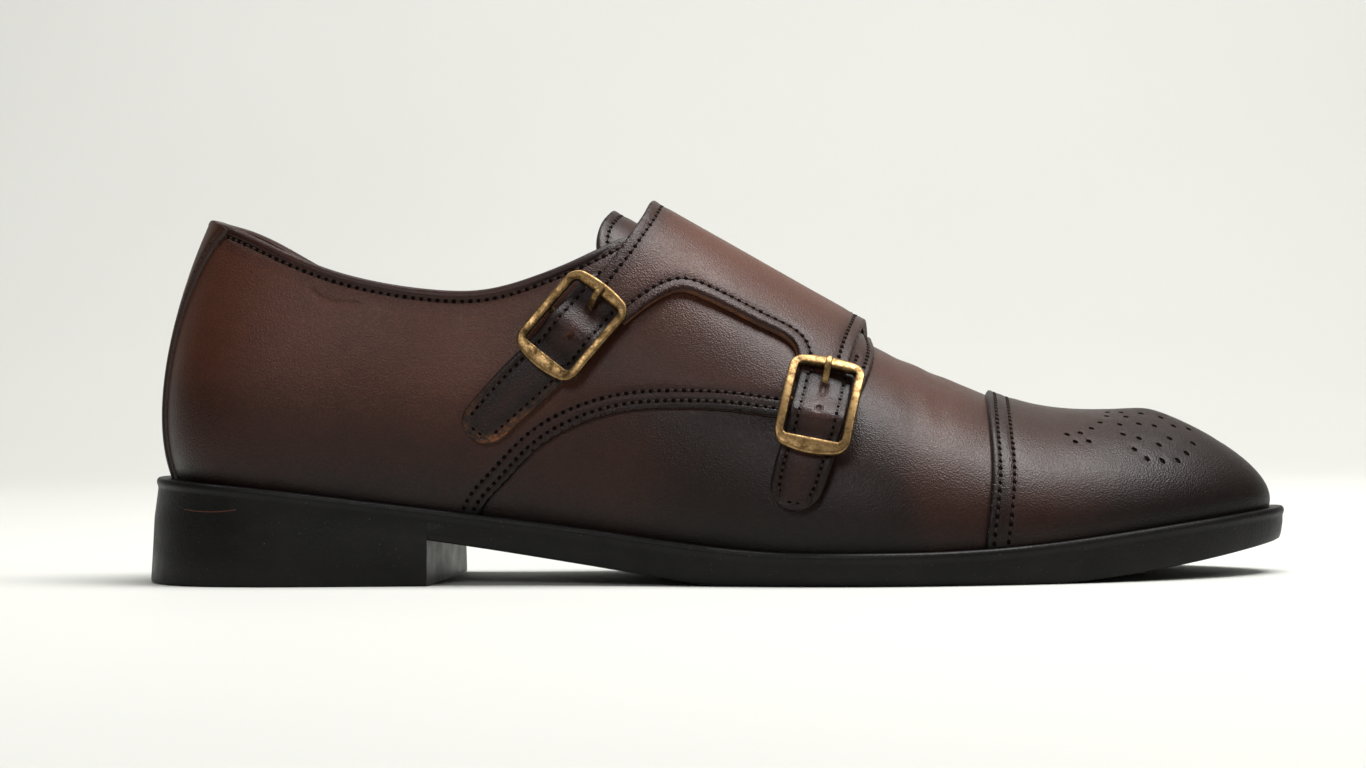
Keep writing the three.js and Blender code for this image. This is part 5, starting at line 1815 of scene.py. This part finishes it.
def sew_strap(strap):
    """One row round the strap, along both its edges and round its end."""
    width, _, _, _, _, length = strap_shape(strap, np.array([1.0]))
    radius = width[0] - STRAP_ROW
    share = (length - STRAP_ROW - radius) / length
    down = np.linspace(0.0, share, 240)
    down_width = strap_shape(strap, down)[0] - STRAP_ROW
    angle = np.linspace(0, math.pi, 60)[1:-1]
    tip_w = share + radius * np.sin(angle) / length
    tip_b = radius * np.cos(angle)
    w = np.concatenate([down, tip_w, down[::-1]])
    b = np.concatenate([down_width, tip_b, -down_width[::-1]])
    line = np.stack([w * length, b], -1)
    run = np.concatenate([[0], np.cumsum(np.linalg.norm(np.diff(line, axis=0), axis=1))])
    even = np.arange(0.4, run[-1], STITCH_PITCH / 2)
    w = np.interp(even, run, w)
    b = np.interp(even, run, b)
    base = strap_shape(strap, w)[2]
    lift = base + STRAP - 0.15 - 0.26
    points, normals = strap_places(strap, w, b, lift)
    sewing.sew(points, normals, 0.0)


def bar_ring(width, deep, count=16, squareness=0.45):
    """Section of a bar: a rounded rectangle, as offsets outwards and up."""
    angle = 2 * math.pi * (np.arange(count) + 0.5) / count
    across = np.sign(np.cos(angle)) * np.abs(np.cos(angle))**squareness * width / 2
    up = np.sign(np.sin(angle)) * np.abs(np.sin(angle))**squareness * deep / 2
    return across, up


def sweep(name, place, route, widths, deep, closed, material, patina_and_painted_light, squareness=0.45):
    """A bar along a route in the buckle's own frame."""
    route = np.asarray(route, float)
    count = len(route)
    if closed:
        run = np.roll(route, -1, axis=0) - np.roll(route, 1, axis=0)
    else:
        run = np.gradient(route, axis=0)
    flat_run = run[:, :2] / np.maximum(np.linalg.norm(run[:, :2], axis=1, keepdims=True), 1e-9)
    rings = []
    shades = []
    for i in range(count):
        across, up = bar_ring(widths[i], deep, squareness=squareness)
        a = route[i, 0] + flat_run[i, 1] * across
        b = route[i, 1] - flat_run[i, 0] * across
        rings.append(place(a, b, route[i, 2] + up))
        shades.append(patina_and_painted_light(i, across, up))
    points = np.stack(rings)
    sides = points.shape[1]
    faces = []
    links = count if closed else count - 1
    for i in range(links):
        j = (i + 1) % count
        for k in range(sides):
            m = (k + 1) % sides
            faces.append((i * sides + k, j * sides + k, j * sides + m, i * sides + m))
    if not closed:
        faces.append(tuple(range(sides)))
        faces.append(tuple((count - 1) * sides + k for k in reversed(range(sides))))
    return shoe_mesh(name, points.reshape(-1, 3), faces, None, [material],
                     {"patina_and_painted_light": np.concatenate(shades)}, 50)


def make_buckle(name, strap):
    place = buckle_map(strap)
    half_length = (BUCKLE_LENGTH - BAR) / 2
    half_width_of_bar = (BUCKLE_WIDTH - BAR) / 2
    corner = 2.1
    bow = 0.75
    broad = 1.35
    slim = 0.7
    route = []
    widths = []
    corners = []
    for sa, sb, start in ((1, 1, 0), (-1, 1, 90), (-1, -1, 180), (1, -1, 270)):
        for w in np.linspace(0, 1, 9):
            angle = math.radians(start + 90 * w)
            route.append((sa * (half_length - corner) + corner * math.cos(angle),
                          sb * (half_width_of_bar - corner) + corner * math.sin(angle)))
            corners.append(1.0)
        for w in np.linspace(0, 1, 16)[1:-1]:
            if sa == sb:
                route.append((sa * (half_length - corner) * (1 - 2 * w), sb * half_width_of_bar))
            else:
                route.append((sa * half_length, sb * (half_width_of_bar - corner) * (1 - 2 * w)))
            corners.append(max(0.0, 1 - 7 * min(w, 1 - w)))
    route = np.array(route)
    near_end = ease((np.abs(route[:, 0]) - half_length + corner) / corner)
    bulge = np.maximum(1 - (route[:, 1] / half_width_of_bar)**2, 0) * near_end
    widths = BAR + bulge * np.where(route[:, 0] > 0, slim, broad)
    heights = FRAME_LIFT + 0.12 * bulge
    route = np.stack([route[:, 0] + np.sign(route[:, 0]) * bow * bulge, route[:, 1], heights], -1)

    def frame_patina_and_painted_light(i, across, up):
        # Painted shade on the frame's inner side.
        inner = np.where(across < -0.42 * widths[i], 0.14, 0.0)
        # Painted shade underneath.
        low = np.where(up < 0, 0.16, 0.0)
        # Painted highlight along the top of the outer edge.
        rubbed = np.where((up > 0.6) & (across > 0), -0.07, 0.0)
        # Patina in the inner corners.
        return inner + low + rubbed + 0.12 * corners[i] * (across < 0)

    frame_piece = sweep(name + "_brass_frame", place, route, widths, BAR_DEEP, True, BRASS, frame_patina_and_painted_light)
    put_on(frame_piece, "buckle_brass", name + "_frame")
    reach = half_width_of_bar
    drop = [(0, w * reach, FRAME_LIFT - 0.4 if abs(w) == 1 else PIN_LIFT) for w in (-1, -0.96, 0.96, 1)]
    pin = sweep(name + "_centre_bar", place, drop, [PIN] * 4, PIN, False, BRASS,
                lambda i, across, up: 0 * across + 0.2, 1.0)
    put_on(pin, "buckle_brass")
    over_bar = FRAME_LIFT + BAR_DEEP / 2 + GAP + 0.55
    tongue_line = smooth_line([(0.8, 2.6), (4.0, 2.5), (6.0, 2.9), (7.5, 5.0), (9.2, over_bar - 0.3),
                               (half_length, over_bar), (half_length + 1.0, over_bar - 0.1)], 30)
    tongue_route = [(a, 0, h) for a, h in tongue_line]
    tongue_widths = [1.75 - 0.35 * ease((a - 9) / 4) for a, _ in tongue_line]
    # The prong darker underneath: painted shade.
    prong = sweep(name + "_brass_prong", place, tongue_route, tongue_widths, 1.25, False, BRASS,
                  lambda i, across, up: np.where(up < 0.2, 0.14, 0.02) + 0 * across, 0.4)
    put_on(prong, "buckle_brass", name + "_prong")


# ---------------------------------------------------------------------------------------------
# Floor, light and camera
# ---------------------------------------------------------------------------------------------
def make_floor():
    size = 6.0
    rise = 3.0
    bend = 0.9
    rows = [(-size, 0.0), (0.9, 0.0)]
    for angle in np.linspace(0, math.pi / 2, 16)[1:]:
        rows.append((0.9 + bend * math.sin(angle), bend * (1 - math.cos(angle))))
    rows.append((0.9 + bend, rise))
    mesh = bpy.data.meshes.new("floor")
    points = [(x, y, z) for y, z in rows for x in (-size, size)]
    faces = [(2 * i, 2 * i + 1, 2 * i + 3, 2 * i + 2) for i in range(len(rows) - 1)]
    mesh.from_pydata(points, [], faces)
    mesh.materials.append(pale_floor())
    mesh.polygons.foreach_set("use_smooth", np.ones(len(mesh.polygons), bool))
    floor = bpy.data.objects.new("floor", mesh)
    bpy.context.scene.collection.objects.link(floor)


def add_light(name, place, aim, width, height, watts):
    lamp = bpy.data.lights.new(name, "AREA")
    lamp.shape = "RECTANGLE"
    lamp.size = width
    lamp.size_y = height
    lamp.energy = watts
    holder = bpy.data.objects.new(name, lamp)
    holder.location = place
    holder.rotation_euler = (Vector(aim) - Vector(place)).to_track_quat("-Z", "Y").to_euler()
    bpy.context.scene.collection.objects.link(holder)


def set_lights():
    middle = (0.0, 0.0, 0.05)
    add_light("overhead_softbox", (0.38, -0.06, 1.25), middle, 0.38, 0.85, 22.0)
    add_light("front_softbox", (-0.42, -1.50, 0.95), middle, 0.6, 0.5, 7.5)
    add_light("side_softbox", (1.05, -0.55, 0.85), middle, 0.4, 0.4, 1.6)
    add_light("backdrop_light", (0.0, 0.35, 1.7), (0.0, 1.7, 0.5), 2.4, 0.5, 36)
    world = bpy.data.worlds.new("studio")
    world.use_nodes = True
    background = world.node_tree.nodes["Background"]
    background.inputs["Color"].default_value = (1.0, 1.0, 0.99, 1.0)
    background.inputs["Strength"].default_value = 0.05
    bpy.context.scene.world = world
    bpy.context.scene.view_settings.view_transform = "Standard"


CAMERA_PLACE = (0.06704, -0.84675, 0.05125)
CAMERA_ROUND = 5.0
CAMERA_ROLL = 0.7
CAMERA_LENS = 84.05


def set_camera():
    camera = bpy.data.cameras.new("camera")
    camera.lens = CAMERA_LENS
    camera.sensor_width = 36.0
    turn = math.radians(CAMERA_ROUND)
    roll = math.radians(CAMERA_ROLL)
    level = Vector((math.cos(turn), math.sin(turn), 0))
    upright = Vector((0, 0, 1))
    right = level * math.cos(roll) - upright * math.sin(roll)
    up = upright * math.cos(roll) + level * math.sin(roll)
    back = Vector((math.sin(turn), -math.cos(turn), 0))
    holder = bpy.data.objects.new("camera", camera)
    holder.matrix_world = Matrix((
        (right.x, up.x, back.x, CAMERA_PLACE[0]),
        (right.y, up.y, back.y, CAMERA_PLACE[1]),
        (right.z, up.z, back.z, CAMERA_PLACE[2]),
        (0, 0, 0, 1),
    ))
    bpy.context.scene.collection.objects.link(holder)
    bpy.context.scene.camera = holder


set_camera()
set_lights()
make_floor()
make_sole()
make_insole()
make_vamp()
make_lining()
make_outer_quarter()
make_inner_quarter()
make_toe_cap()
darken_holes()
make_tongue()
make_backstay()
make_binding()
for strap_name, strap_facts in STRAPS.items():
    make_strap(strap_name, strap_facts)
    make_buckle(strap_name + "_buckle", strap_facts)
sewing.finish()
